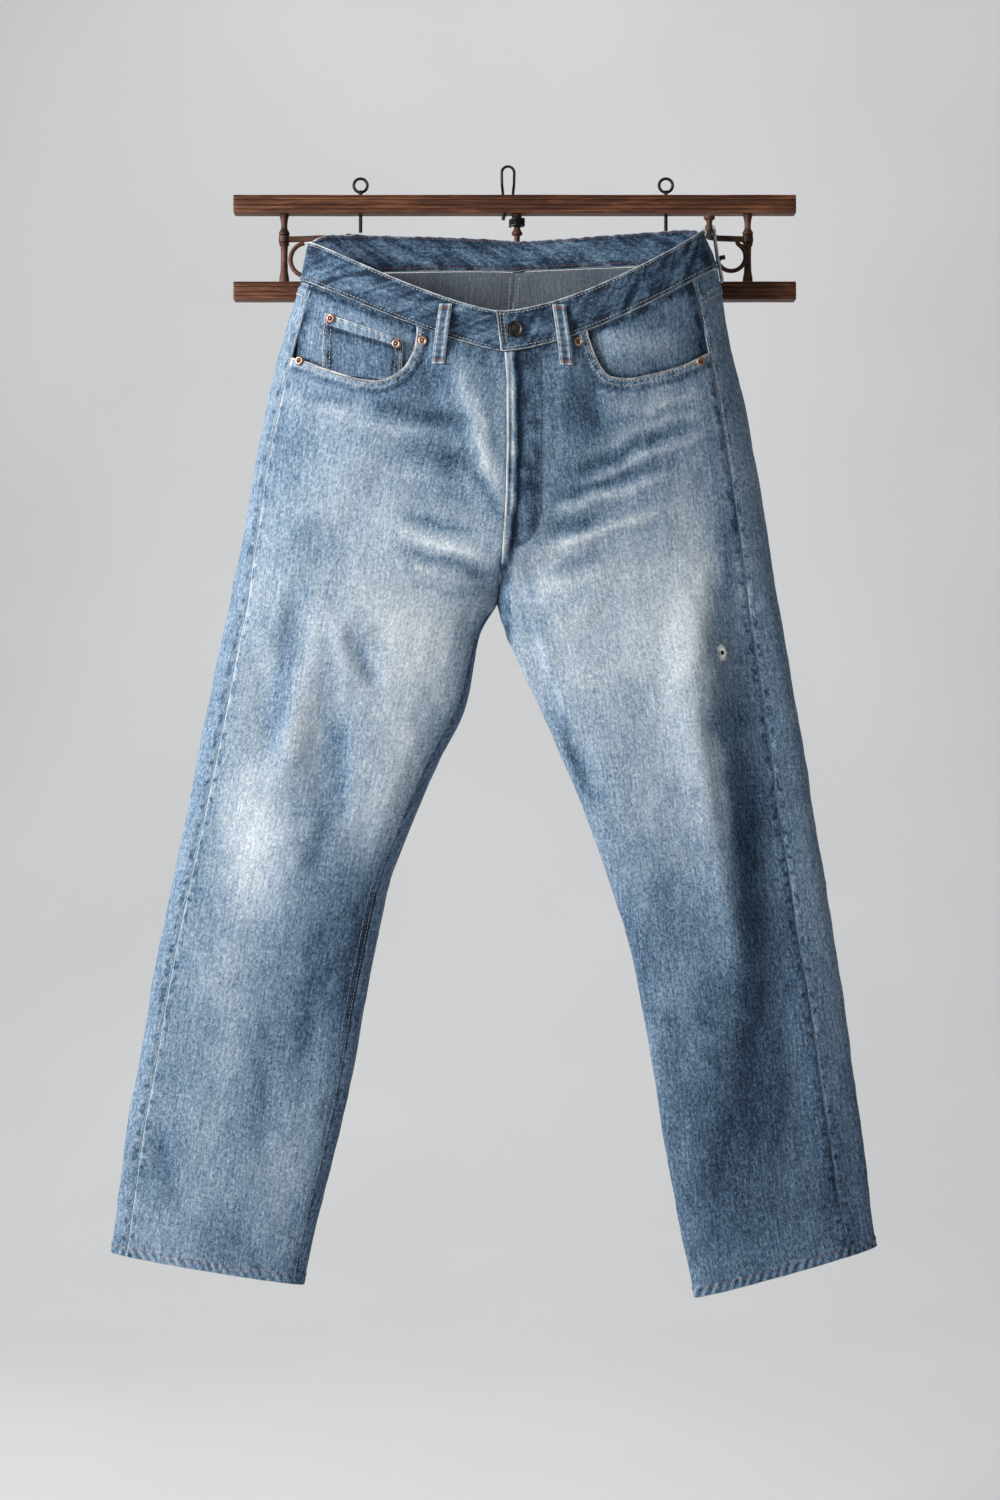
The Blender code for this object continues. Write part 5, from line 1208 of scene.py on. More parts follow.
# yokes, pocket facings, coin pocket, pocket bags, fly shield and back pockets
def makeYoke(leg):
    rows, columns = 34, 120
    low = sideTurn(leg, np.array(2.0)) - 0.0008
    high = innerTurn(leg, np.array(2.0), "back") + 0.0008
    turns = np.linspace(float(low), float(high), columns)
    bottom = yokeRow(leg, turns) - 0.004
    share = np.linspace(0, 1, rows)[:, None]
    rowGrid = waistRow + 0.012 + (bottom[None, :] - waistRow - 0.012) * share
    turnGrid = np.broadcast_to(turns, rowGrid.shape)
    grid = skin(leg, rowGrid, turnGrid)
    normals = skinNormal(leg, rowGrid, turnGrid)
    across, down = lengthsOf(grid)
    total = down[-1:]
    fromFoot = np.linalg.norm(grid - grid[-1:], axis=-1)
    inner = across[:, -1:] - across
    relief = 0.5 * cloudField(grid, (40, 40, 30), 6.6, 2)
    relief += 0.9 * fallStep(8.5, 10.5, fromFoot) - 0.4 * bell(fromFoot, 11.5, 1.5)
    relief += 0.5 * fallStep(8.5, 10.5, inner)
    # colour follows the relief: paler where the cloth stands up, as worn, and darker in its hollows, as painted
    # shade
    fade = 0.42 + 0.05 * relief
    seam = np.minimum(np.abs(fromFoot - 4.5) + 1.0, np.minimum(inner, across))
    edge = fromFoot * 1.1 + 0.3
    uv = np.stack((across + 300, -down + 300), -1)
    shaped = grid + normals * relief[..., None]
    shaped[..., 0] = keepSide(leg, shaped, section(leg, rowGrid)["backX"])
    return clothSheet("yoke" + leg.title(), shaped, normals, 2.0, (denim, denimInside),
                      {"fade": fade, "seam": seam, "run": across, "edge": edge}, uv, 0.5)


def facingTop(leg, row, turn):
    point = skin(leg, row, turn)
    return -pocketDepth * fallStep(2, 30, mouthDistance(leg, point[..., 0], point[..., 2]))


def pocketGrid(leg, rows, gap, stop):
    # as many columns as rows, from near the side seam to a turn over the front
    starts = sideTurn(leg, rows)[:, None] + gap
    turns = starts + (stop - starts) * np.linspace(0, 1, len(rows))[None, :]
    rowGrid = np.broadcast_to(rows[:, None], turns.shape)
    return skin(leg, rowGrid, turns), skinNormal(leg, rowGrid, turns), rowGrid, turns


# where the hand rubs the facings pale
facingOvals = ((-150, -196, 30, 14, 15, 0.16), (138, -200, 34, 14, -12, 0.18), (100, -200, 14, 16, 0, 0.10))


def makeFacing(leg):
    grid, normals, rowGrid, turnGrid = pocketGrid(leg, np.linspace(1.004, 3.35, 70), 0.0006, 1.27)
    across, down = lengthsOf(grid)
    distance = mouthDistance(leg, grid[..., 0], grid[..., 2])
    clouds = cloudField(grid, (26, 26, 26), 2.2, 2)
    relief = facingTop(leg, rowGrid, turnGrid) + 0.5 * clouds * easeStep(0, 12, distance)
    # pale where the hand rubs, darker along the seams, and painted shade deep under the front's mouth edge
    fade = 0.40 + 0.10 * clouds - 0.26 * fallStep(0, 7, distance)
    fade -= 0.20 * fallStep(2, 16, across) + 0.16 * fallStep(2, 14, down)
    fade += ovalField(facingOvals, grid[..., 0], grid[..., 2])
    seam = np.minimum(across, down)
    uv = np.stack((across + 500 + (0 if leg == "right" else 400), -down), -1)
    fields = {"fade": fade, "seam": seam, "run": down, "edge": np.full(fade.shape, 99.0)}
    shaped = grid + normals * relief[..., None]
    return clothSheet("pocketFacing" + leg.title(), shaped, normals, 1.6, (denim, denimInside), fields, uv)


coinLook = {"corners": ((-186.5, -166.0), (-106.5, -196.0), (-109.5, -238.0), (-191.5, -226.0)), "wall": 1.2,
            "lift": 1.1}


def makeCoinPocket():
    look = coinLook
    grid, normals, row, turn = clothAt("right", "front", *quadGrid(look["corners"], 60, 90))
    across, down = lengthsOf(grid)
    width = across[:, -1:]
    side = np.minimum(across, width - across)
    clouds = cloudField(grid, (22, 22, 22), 8.8, 2)
    top = down
    relief = facingTop("right", row, turn) + look["lift"] + look["wall"] + 0.35 * clouds
    relief += 0.6 * fallStep(9.0, 10.5, top) - 0.4 * bell(top, 11.5, 1.4)
    ripple = np.sin(2 * math.pi * (across + 2 * np.sin(across / 9)) / 8.0) * fallStep(8.0, 11.0, top)
    relief += 0.2 * ripple
    fade = 0.28 + 0.12 * clouds + 0.20 * fallStep(8.5, 10.0, top) + 0.12 * ripple
    fade -= 0.22 * bell(top, 12.4, 2.4) + 0.17 * bell(side, 8.5, 2.4)
    fade += 0.08 * easeStep(12, 26, side) * easeStep(16, 30, top)
    edge = np.minimum(top * 1.1 + 0.1, side * 1.1 + 0.3)
    uv = np.stack((across + 1500, -down), -1)
    shaped = grid + normals * relief[..., None]
    return clothSheet("coinPocket", shaped, normals, look["wall"], (denim, denimInside),
                      {"fade": fade, "seam": np.abs(side - 4) + 1, "run": down, "edge": edge}, uv, 0.4)


def makeBag(leg):
    grid, normals = pocketGrid(leg, np.linspace(1.15, 4.1, 26), 0.30, 1.22)[:2]
    across, down = lengthsOf(grid)
    relief = -pocketDepth - 1.6 - 0.3 - 0.4 * (1 + cloudField(grid, (30, 30, 30), 1.2))
    uv = np.stack((across, -down), -1)
    shaped = grid + normals * relief[..., None]
    return clothSheet("pocketBag" + leg.title(), shaped, normals, 1.0, (pocketCotton,), {}, uv)


def makeFlyShield():
    lines = []
    normalLines = []
    for row in np.linspace(1.03, 4.9, 50):
        centre = float(section("right", np.array(row))["frontX"])
        line = []
        normalLine = []
        for place in np.concatenate((np.linspace(-20, -0.6, 8), np.linspace(0.6, 38, 14))):
            leg = "right" if place < 0 else "left"
            turn = turnAt(leg, "front", np.array(row), centre + place)
            line.append(skin(leg, np.array(row), turn))
            normalLine.append(skinNormal(leg, np.array(row), turn))
        lines.append(line)
        normalLines.append(normalLine)
    grid, normals = np.array(lines), np.array(normalLines)
    across, down = lengthsOf(grid)
    uv = np.stack((across + 60, -down), -1)
    return clothSheet("flyShield", grid + normals * -2.3, normals, 1.6, (denimInside,), {}, uv)


backPockets = {
    "right": ((-172, -176), (-38, -190), (-40, -318), (-182, -304)),
    "left": ((160, -174), (36, -190), (38, -318), (176, -304)),
}


def makeBackPocket(leg):
    grid, normals, row, turn = clothAt(leg, "back", *quadGrid(backPockets[leg], 84, 90))
    across, down = lengthsOf(grid)
    width = across[:, -1:]
    side = np.minimum(across, width - across)
    foot = down[-1:] - down
    clouds = cloudField(grid, (30, 30, 30), 9.1, 2)
    relief = 1.9 + 0.7 * fallStep(15, 17, down) - 0.4 * bell(down, 18.0, 1.8) + 0.5 * clouds
    fade = 0.46 + 0.08 * clouds + 0.14 * fallStep(14, 16, down) - 0.16 * bell(down, 18, 2.4)
    fade -= 0.10 * bell(np.minimum(side, foot), 9.5, 2.0)
    rim = np.minimum(side, foot)
    relief += 0.3 * fallStep(8, 10, rim)
    edge = np.minimum(rim, down) * 1.1 + 0.2
    uv = np.stack((across + 3000, -down), -1)
    run = np.where(side < foot, down, across)
    fields = {"fade": fade, "seam": np.abs(rim - 4) + 1, "run": run, "edge": edge}
    shaped = grid + normals * relief[..., None]
    return clothSheet("backPocket" + leg.title(), shaped, normals, 1.6, (denim, denimInside), fields, uv, 0.4)


for leg in ("right", "left"):
    pieces["yoke_" + leg] = makeYoke(leg)
    pieces["pocket_facing_" + leg] = makeFacing(leg)
    pieces["pocket_bag_" + leg] = makeBag(leg)
    pieces["back_pocket_" + leg] = makeBackPocket(leg)
pieces["coin_pocket"] = makeCoinPocket()
pieces["fly_shield"] = makeFlyShield()
print("yokes, pockets and shield made")


# belt loops: a strap that bridges the band, with a raised ridge along each side and white worn edges
beltLoops = {
    "belt_loop_front_right": ("right", "front", -63.0, -160.5, -71.0, -220.2, 3.0),
    "belt_loop_front_left": ("left", "front", 51.0, -161.5, 59.0, -221.5, 3.0),
    "belt_loop_back_right": ("right", "back", -184.0, -87.5, -187.0, -138.0, 13.0),
    "belt_loop_back_centre": ("centre", "back", 11.5, -85.0, 11.5, -136.0, 4.0),
}
loopLook = {"wall": 2.0, "rows": 90, "columns": 21, "base": 0.44, "tack": 4.0}
loopGrids = {}


def loopSheet(name, grid, normals):
    across, down = lengthsOf(grid)
    width = across[:, -1:]
    side = np.minimum(across, width - across)
    ends = np.minimum(down, down[-1:] - down)
    ripple = np.sin(2 * math.pi * (down + 1.5 * np.sin(down / 6.0)) / 6.5)
    relief = 0.45 * bell(side, 2.7, 1.3) - 0.25 * bell(side, 6.2, 1.6) + 0.12 * ripple
    fade = loopLook["base"] + 0.22 * bell(side, 2.7, 1.2) - 0.16 * bell(side, 6.2, 1.7)
    fade += 0.06 * ripple + 0.08 * cloudField(grid, (9, 9, 9), 3.3)
    fade += 0.12 * bell(ends, 0, 2.2) - 0.22 * bell(ends, 6.0, 1.6)
    edge = np.minimum(side * 1.3 + 0.45, ends + 0.6)
    uv = np.stack((across + 4000, -down), -1)
    fields = {"fade": fade, "seam": np.full(fade.shape, 99.0), "run": down, "edge": edge}
    shaped = grid + normals * relief[..., None]
    return clothSheet(name, shaped, normals, loopLook["wall"], (denim, denim), fields, uv, 0.5)


def makeBeltLoop(name):
    leg, face, x1, z1, x2, z2, rise = beltLoops[name]
    half = loopWidth / 2
    corners = ((x1 - half, z1), (x1 + half, z1), (x2 + half, z2), (x2 - half, z2))
    x, z = quadGrid(corners, loopLook["rows"], loopLook["columns"])
    if leg == "centre":
        # this loop crosses the seat seam, so each half lies on its own leg
        left = x > 9.3
        ownLeft, ownRight = (clothAt(own, face, x, z) for own in ("left", "right"))
        grid, normals = (np.where(left[..., None], ownLeft[k], ownRight[k]) for k in (0, 1))
        row = np.where(left, ownLeft[2], ownRight[2])
    else:
        grid, normals, row, turn = clothAt(leg, face, x, z)
    onBand = fallStep(1.05, 1.16, row)
    top = 0.5 + 1.0 * onBand
    if name == "belt_loop_front_left":
        top = top + (0.4 + flapLift(grid[..., 0])) * onBand
    down = np.linspace(0, 1, loopLook["rows"])[:, None]
    bridge = easeStep(0.06, 0.30, down) * fallStep(0.66, 0.94, down)
    top = top + loopLook["wall"] + rise * bridge
    grid = grid + normals * top[..., None]
    loopGrids[name] = (grid, normals)
    return loopSheet(name, grid, normals)


sideLoopPath = ((203.1, -77.2), (202.3, -74.0), (202.9, -70.0), (205.6, -67.4), (209.6, -67.2),
                (212.9, -68.8), (214.6, -72.5), (215.3, -80.0), (216.6, -90.0), (218.2, -101.0),
                (220.3, -110.0), (221.6, -118.0), (223.2, -126.0))


def makeSideLoop():
    # the loop pulled up over the rack's arm
    path = np.array(sideLoopPath)
    place = np.linspace(0, len(path) - 1, 90)
    x, z = smoothCurve(path[:, 0], place), smoothCurve(path[:, 1], place)
    way = np.gradient(np.stack((x, z), -1), axis=0)
    way /= np.linalg.norm(way, axis=-1, keepdims=True)
    out = np.stack((-way[:, 1], np.zeros(len(place)), way[:, 0]), -1)
    y = np.linspace(-30.5 - loopWidth / 2, -30.5 + loopWidth / 2, 21)
    shape = (len(place), len(y))
    grid = np.stack([np.broadcast_to(part, shape) for part in (x[:, None], y[None, :], z[:, None])], -1)
    normals = np.broadcast_to(out[:, None, :], grid.shape)
    loopGrids["belt_loop_back_left"] = (grid, normals)
    return loopSheet("belt_loop_back_left", grid, normals)


for name in beltLoops:
    pieces[name] = makeBeltLoop(name)
pieces["belt_loop_back_left"] = makeSideLoop()
print("belt loops made")

# one long stitch, modelled once and set many times along the sewing lines
stitchLook = {"length": 3.0, "gap": 0.9, "radius": 0.34, "wander": 0.12, "lift": 0.12}


def stitchShape():
    clearSelection()
    bpy.ops.mesh.primitive_cylinder_add(
        vertices=5, radius=stitchLook["radius"] * mm, depth=stitchLook["length"] * mm,
        rotation=(0, math.pi / 2, 0), end_fill_type="TRIFAN")
    bpy.ops.object.transform_apply(location=False, rotation=True, scale=False)
    piece = bpy.context.object
    editAll()
    bpy.ops.mesh.bisect(plane_co=(0, 0, 0), plane_no=(1, 0, 0))
    bpy.ops.object.mode_set(mode="OBJECT")
    mesh = piece.data
    half = stitchLook["length"] / 2 * mm
    for vertex in mesh.vertices:
        share = abs(vertex.co.x) / half
        vertex.co.y *= 1 - 0.45 * share ** 2
        vertex.co.z = vertex.co.z * (1 - 0.35 * share ** 2) - 0.30 * mm * share ** 2
    points = np.array([vertex.co[:] for vertex in mesh.vertices])
    faces = [tuple(polygon.vertices) for polygon in mesh.polygons]
    bpy.data.objects.remove(piece, do_unlink=True)
    return points, faces


stitchPoints, stitchFaces = stitchShape()


class Cloth:
    # finds the surface of finished pieces along a direction
    def __init__(self, *parts):
        verts, faces = [], []
        for piece in parts:
            start = len(verts)
            verts += [vertex.co.copy() for vertex in piece.data.vertices]
            faces += [[k + start for k in polygon.vertices] for polygon in piece.data.polygons]
        self.tree = BVHTree.FromPolygons(verts, faces)

    def land(self, point, out, reach=14.0):
        start = (Vector(point) + Vector(out) * reach) * mm
        hit, normal, index, distance = self.tree.ray_cast(start, -Vector(out), reach * 2.2 * mm)
        if hit is None:
            return None
        if normal.dot(Vector(out)) < 0:
            normal = -normal
        return np.array(hit) / mm, np.array(normal)


def sewLine(cloth, path, outs, length=stitchLook["length"], gap=stitchLook["gap"]):
    # places a stitch for each step along a path, laid on the cloth
    path, outs = np.asarray(path, float), np.asarray(outs, float)
    steps = runOf(path)
    placed = []
    at = gap
    while at + length < steps[-1]:
        ends = []
        for where in (at, at + length):
            out = pointsAt(steps, outs, where)
            out /= np.linalg.norm(out)
            landed = cloth.land(pointsAt(steps, path, where), out)
            if landed is None:
                break
            ends.append(landed)
        if len(ends) == 2:
            (a, outA), (b, outB) = ends
            if np.linalg.norm(b - a) < length * 1.6:
                slip = stitchLook["wander"] * (math.sin(at * 1.7) + math.sin(at * 0.53))
                placed.append((a, b, (outA + outB) / 2, slip))
        at += length + gap
    return placed


def stitchMesh(name, placed, material):
    points, faces = [], []
    base = stitchPoints / mm
    for a, b, normal, slip in placed:
        way = b - a
        length = np.linalg.norm(way)
        way = way / length
        up = normal - way * normal.dot(way)
        up /= np.linalg.norm(up)
        side = np.cross(up, way)
        centre = (a + b) / 2 + up * stitchLook["lift"] + side * slip
        scale = length / stitchLook["length"]
        start = len(points) * len(base)
        points.append(centre + base[:, :1] * scale * way + base[:, 1:2] * side + base[:, 2:3] * up)
        faces += [tuple(k + start for k in face) for face in stitchFaces]
    mesh = bpy.data.meshes.new(name)
    mesh.from_pydata((np.concatenate(points) * mm).tolist(), [], faces)
    piece = bpy.data.objects.new(name, mesh)
    bpy.context.scene.collection.objects.link(piece)
    mesh.materials.append(material)
    pick(piece)
    bpy.ops.object.mode_set(mode="EDIT")
    endFacingOut()
    bpy.ops.object.shade_smooth()
    return piece


def legLine(leg, face, rowLine, inset, fromSeam="side"):
    # a line beside a seam, an inset away from it along the cloth
    rows = np.asarray(rowLine, float)
    starts = sideTurn(leg, rows) if fromSeam == "side" else innerTurn(leg, rows, face)
    other = innerTurn(leg, rows, face) if fromSeam == "side" else sideTurn(leg, rows)
    parts = np.linspace(0, 0.5, 80)
    turns = starts[:, None] + (other - starts)[:, None] * parts[None, :]
    points = skin(leg, rows[:, None], turns)
    turn = np.array([np.interp(inset, line, turnLine) for line, turnLine in zip(runOf(points), turns)])
    return skin(leg, rows, turn), skinNormal(leg, rows, turn)


def hemLine(leg, face, up):
    # a line round the hem, a height up from its edge
    turnsFrom = sideTurn(leg, np.array(hemRow))
    turnsTo = innerTurn(leg, np.array(hemRow), face)
    turns = np.linspace(float(turnsFrom), float(turnsTo), 120)
    rows = np.linspace(17.2, hemRow, 60)
    grid = skin(leg, rows[:, None], turns[None, :])
    gaps = np.linalg.norm(np.diff(grid, axis=0), axis=-1)
    fromHem = np.concatenate((np.cumsum(gaps[::-1], axis=0)[::-1], np.zeros((1, len(turns)))))
    row = np.array([np.interp(up, fromHem[::-1, k], rows[::-1]) for k in range(len(turns))])
    return skin(leg, row, turns), skinNormal(leg, row, turns)


def faceLine(leg, face, path):
    x, z = np.array([p[0] for p in path], float), np.array([p[1] for p in path], float)
    steps = np.concatenate(([0.0], np.cumsum(np.hypot(np.diff(x), np.diff(z)))))
    wanted = np.linspace(0, steps[-1], max(3, int(steps[-1] / 2)))
    x, z = np.interp(wanted, steps, x), np.interp(wanted, steps, z)
    return clothAt(leg, face, x, z)[:2]


def insetCurve(curve, amount):
    # a curve moved sideways by an amount
    way = np.gradient(curve, axis=0)
    way /= np.linalg.norm(way, axis=-1, keepdims=True)
    return curve + np.stack((-way[:, 1], way[:, 0]), -1) * amount


paleRows, rustRows, greyRows, navyRows, tackRows = [], [], [], [], []
seamRows = (2.2, 7.8)
for leg in ("right", "left"):
    body = Cloth(pieces["front_" + leg])
    rear = Cloth(pieces["back_" + leg], pieces["yoke_" + leg], pieces["back_pocket_" + leg])
    # two rows round the pocket mouth
    mouth = mouthCurve(leg)
    inward = -1 if leg == "right" else 1
    for amount in (3.0, 7.4):
        path = insetCurve(mouth, inward * amount)
        if mouthDistance(leg, path[40:41, 0], path[40:41, 1])[0] > 0:
            path = insetCurve(mouth, -inward * amount)
        points, outs, row, turn = clothAt(leg, "front", path[:, 0], path[:, 1])
        keep = (row > 1.01) & (np.abs(turn) > np.abs(sideTurn(leg, row)) + 0.01)
        paleRows += sewLine(body, points[keep], outs[keep])
    # hem, inseam, seat seam and side seam
    for face, cloth, low in (("front", body, 7.6), ("back", rear, 7.4)):
        rustRows += sewLine(cloth, *hemLine(leg, face, 9.6))
        if face == ("back" if leg == "left" else "front"):
            for inset in seamRows:
                greyRows += sewLine(cloth, *legLine(leg, face, np.linspace(low, 18.5, 160), inset, "inner"))
    if leg == "left":
        for inset in seamRows:
            paleRows += sewLine(rear, *legLine(leg, "back", np.linspace(2.5, 6.8, 90), inset, "inner"))
    paleRows += sewLine(rear, *legLine(leg, "back", np.linspace(1.05, 4.2, 60), 2.4, "side"))
    # yoke seam
    turns = np.linspace(float(sideTurn(leg, np.array(1.6))) - 0.02, -math.pi / 2 + 0.02, 160)
    for rise in (0.035, 0.125):
        row = yokeRow(leg, turns) - rise
        paleRows += sewLine(rear, skin(leg, row, turns), skinNormal(leg, row, turns))
    # back pocket: two rows round it and two across its hem
    for inset in (0.022, 0.062):
        outline = ((inset, 0.0), (inset, 1 - inset), (1 - inset, 1 - inset), (1 - inset, 0.0))
        places = [quadPoint(backPockets[leg], u, v) for u, v in outline]
        paleRows += sewLine(rear, *faceLine(leg, "back", places))
    for share in (0.05, 0.10):
        places = [quadPoint(backPockets[leg], u, share) for u in (0.01, 0.99)]
        paleRows += sewLine(rear, *faceLine(leg, "back", places))

# the fly's double J, the tacks at its foot and the line beside its edge
fly = Cloth(pieces["front_left"])
for offset in (0.0, 6.2):
    zLine = np.linspace(-212, -404, 90)
    xLine = flyLine(zLine) - offset
    navyRows += sewLine(fly, *faceLine("left", "front", list(zip(xLine, zLine))))
for z in (-396.0, -406.5):
    tackRows += sewLine(fly, *faceLine("left", "front", [(-5.0, z), (6.0, z - 0.5)]), 1.3, 0.05)
edgeLine = [(0.4, -214), (0.6, -300), (-1.0, -352), (-3.0, -398)]
paleRows += sewLine(fly, *faceLine("left", "front", edgeLine))

# waistband rows, outside and inside
band = Cloth(pieces["waistband"])


def bandRow(row, low, high, side=1):
    points = bandLine(row)[0]
    keep = slice(int(low * len(points)), int(high * len(points)))
    down = bandLine(min(row + 0.02, 0.985))[0] - bandLine(max(row - 0.02, 0.0))[0]
    out = np.cross(np.gradient(points, axis=0), down)
    out /= np.linalg.norm(out, axis=-1, keepdims=True)
    if out[30, 1] > 0:
        out = -out
    return points[keep], out[keep] * side


def flapPlace(row, inset):
    # a place on the lapped end, a distance in from its edge
    points = bandLine(row)[0]
    return pointsAt(runOf(points), points, inset)


for row in (0.075, 0.90):
    paleRows += sewLine(band, *bandRow(row, 0.004, 0.985))
for row in (0.90, 0.08):
    rustRows += sewLine(band, *bandRow(row, 0.03, 0.97, -1))
for inset in (3.0, 6.6):
    places = [flapPlace(row, inset) for row in np.linspace(0.08, 0.9, 10)]
    paleRows += sewLine(band, places, [(0, -1, 0.35)] * 10)

# coin pocket: two rows across its top, one down each edge and one inside that
coin = Cloth(pieces["coin_pocket"])
for ends in (((0.02, 0.06), (0.98, 0.06)), ((0.02, 0.18), (0.98, 0.18)), ((0.03, 0.03), (0.03, 0.97)),
             ((0.97, 0.03), (0.97, 0.97)), ((0.09, 0.22), (0.09, 0.97)), ((0.91, 0.22), (0.91, 0.97))):
    places = [quadPoint(coinLook["corners"], u, v) for u, v in ends]
    paleRows += sewLine(coin, *faceLine("right", "front", places))

# belt loops: two rows along each, and close tacks across their ends
for name, (grid, normals) in loopGrids.items():
    cloth = Cloth(pieces[name])
    columns = grid.shape[1]
    for column in (int(columns * 0.2), int(columns * 0.8)):
        paleRows += sewLine(cloth, grid[:, column], normals[:, column], 2.6, 0.7)
    for row in (82, 85) if name == "belt_loop_back_left" else (4, 7, 82, 85):
        out = normals[row, 2:-2]
        tackRows += sewLine(cloth, grid[row, 2:-2], out, 1.3, 0.05)
        tackRows += sewLine(cloth, grid[row + 1, 2:-2], out, 1.2, 0.1)

# seat seam inside the back, seen through the open waist
for leg in ("right", "left"):
    cloth = Cloth(pieces["back_" + leg], pieces["yoke_" + leg])
    points, outs = legLine(leg, "back", np.linspace(1.1, 6.6, 120), 4.5, "inner")
    paleRows += sewLine(cloth, points, -outs)

stitches = {}
for name, placed, tone in (("Pale", paleRows, "pale"), ("Rust", rustRows, "rust"), ("Grey", greyRows, "grey"),
                           ("Navy", navyRows, "navy"), ("Tack", tackRows, "rust")):
    stitches[name] = stitchMesh("stitches" + name, placed, threads[tone])
    print("stitches made:", name, len(placed))


# rivets: a hammered copper cap with a rim, a low ring and a dark sunk middle with a burr
# each has its leg, its X and Z from the front, and its turn
rivetPlaces = {
    "rivet_right_waist": ("right", -86.5, -197.0, 0.0), "rivet_right_side": ("right", -213.5, -213.0, 1.3),
    "rivet_left_waist": ("left", 71.0, -198.0, 2.6), "rivet_left_side": ("left", 196.3, -214.8, 3.9),
    "rivet_coin_outer": ("right", -180.0, -172.0, 4.0), "rivet_coin_inner": ("right", -113.5, -199.5, 5.7),
}
rivetProfile = ((0.55, 2.05), (0.95, 1.95), (1.2, 1.45), (1.75, 1.25), (2.2, 1.5), (2.7, 1.95), (3.4, 1.98),
                (4.1, 1.7), (4.6, 1.1), (4.8, 0.45), (4.6, 0.02), (3.9, 0.0))


def makeRivet(name, origin, direction, turn):
    ring = turnedPiece(name, rivetProfile, 36, metals["wornCopper"])
    mesh = ring.data
    mesh.materials.append(metals["pitCopper"])
    for polygon in mesh.polygons:
        centre = polygon.center
        if math.hypot(centre.x, centre.y) < 2.3 * mm and centre.z < 1.6 * mm:
            polygon.material_index = 1
    # no two rivets are struck quite alike
    for vertex in mesh.vertices:
        dent = noise.noise(vertex.co * 700 + Vector((turn * 9, 0, 0)))
        vertex.co.z += dent * 0.14 * mm
        vertex.co.x *= 1 + 0.03 * dent
    return settle(ring, origin, direction, turn)


for name, (leg, x, z, spinTurn) in rivetPlaces.items():
    point, out = clothAt(leg, "front", x, z)[:2]
    under = ("coin_pocket", "pocket_facing_right") if "coin" in name else ("front_" + leg,)
    landed = Cloth(*(pieces[node] for node in under)).land(point, out)
    pieces[name] = makeRivet(name, (landed[0] if landed else point) + out * 0.1, out, spinTurn)
print("rivets made")

# waist button: a dished cap with a rolled rim and a raised ring of beads, plain of any lettering
buttonLook = {"point": (6.5, -187.0), "lift": 5.35, "beads": 40}
buttonProfile = ((1.6, 2.35), (2.4, 2.2), (3.0, 2.05), (4.4, 2.05), (5.0, 2.2), (5.5, 1.95), (6.2, 2.25),
                 (6.9, 2.8), (7.6, 2.85), (8.2, 2.4), (8.5, 1.6), (8.5, 0.9), (8.1, 0.35), (7.2, 0.05),
                 (2.3, 0.0), (2.3, -3.1), (0.0, -3.1))


def makeButton():
    look = buttonLook
    point, out = clothAt("left", "front", *look["point"])[:2]
    cap = turnedPiece("waistButton", ((0.0, 2.35),) + buttonProfile, 56, metals["agedBronze"])
    clearSelection()
    bpy.ops.mesh.primitive_uv_sphere_add(segments=8, ring_count=6, radius=0.27 * mm,
                                         location=(4.4 * mm, 0, 2.1 * mm))
    bead = bpy.context.object
    bead.data.materials.append(metals["agedBronze"])
    bpy.ops.object.transform_apply(location=True, rotation=False, scale=True)
    beads = [bead]
    for k in range(1, look["beads"]):
        copy = bead.copy()
        copy.data = bead.data.copy()
        copy.data.transform(Matrix.Rotation(2 * math.pi * k / look["beads"], 4, "Z"))
        bpy.context.scene.collection.objects.link(copy)
        beads.append(copy)
    piece = join([cap] + beads, "waistButton")
    return settle(piece, point + out * look["lift"], out, 0.3)


pieces["waist_button"] = makeButton()
print("button made")


# rack: reeded wooden bars, turned iron posts; the arms, eye screws and wire keep their solids
rackLook = {"length": 590.0, "centreX": 7.0, "height": 19.0, "depth": 18.0,
            "zs": {"rack_bar_upper": -39.5, "rack_bar_lower": -130.4},
            "grooves": (-6.2, -1.6, 3.4, 7.2), "round": 1.4}
postX = {"right": -235.2, "centre": 9.5, "left": 252.0}
postProfile = ((5.0, -0.3), (5.1, -1.4), (4.6, -2.6), (3.9, -5.5), (3.5, -8.5), (3.2, -13.0), (3.6, -15.5),
               (4.6, -17.6), (5.5, -18.9), (5.7, -20.4), (5.3, -21.7), (4.0, -22.2), (3.0, -22.6),
               (3.0, -29.8), (4.6, -30.4), (5.4, -31.2), (5.4, -32.0), (4.4, -33.0), (3.8, -34.2),
               (3.6, -40.0), (3.6, -48.0), (3.7, -54.0), (3.9, -60.0), (4.5, -63.5), (5.0, -66.0),
               (5.25, -69.0), (5.2, -71.6), (0.0, -71.6))


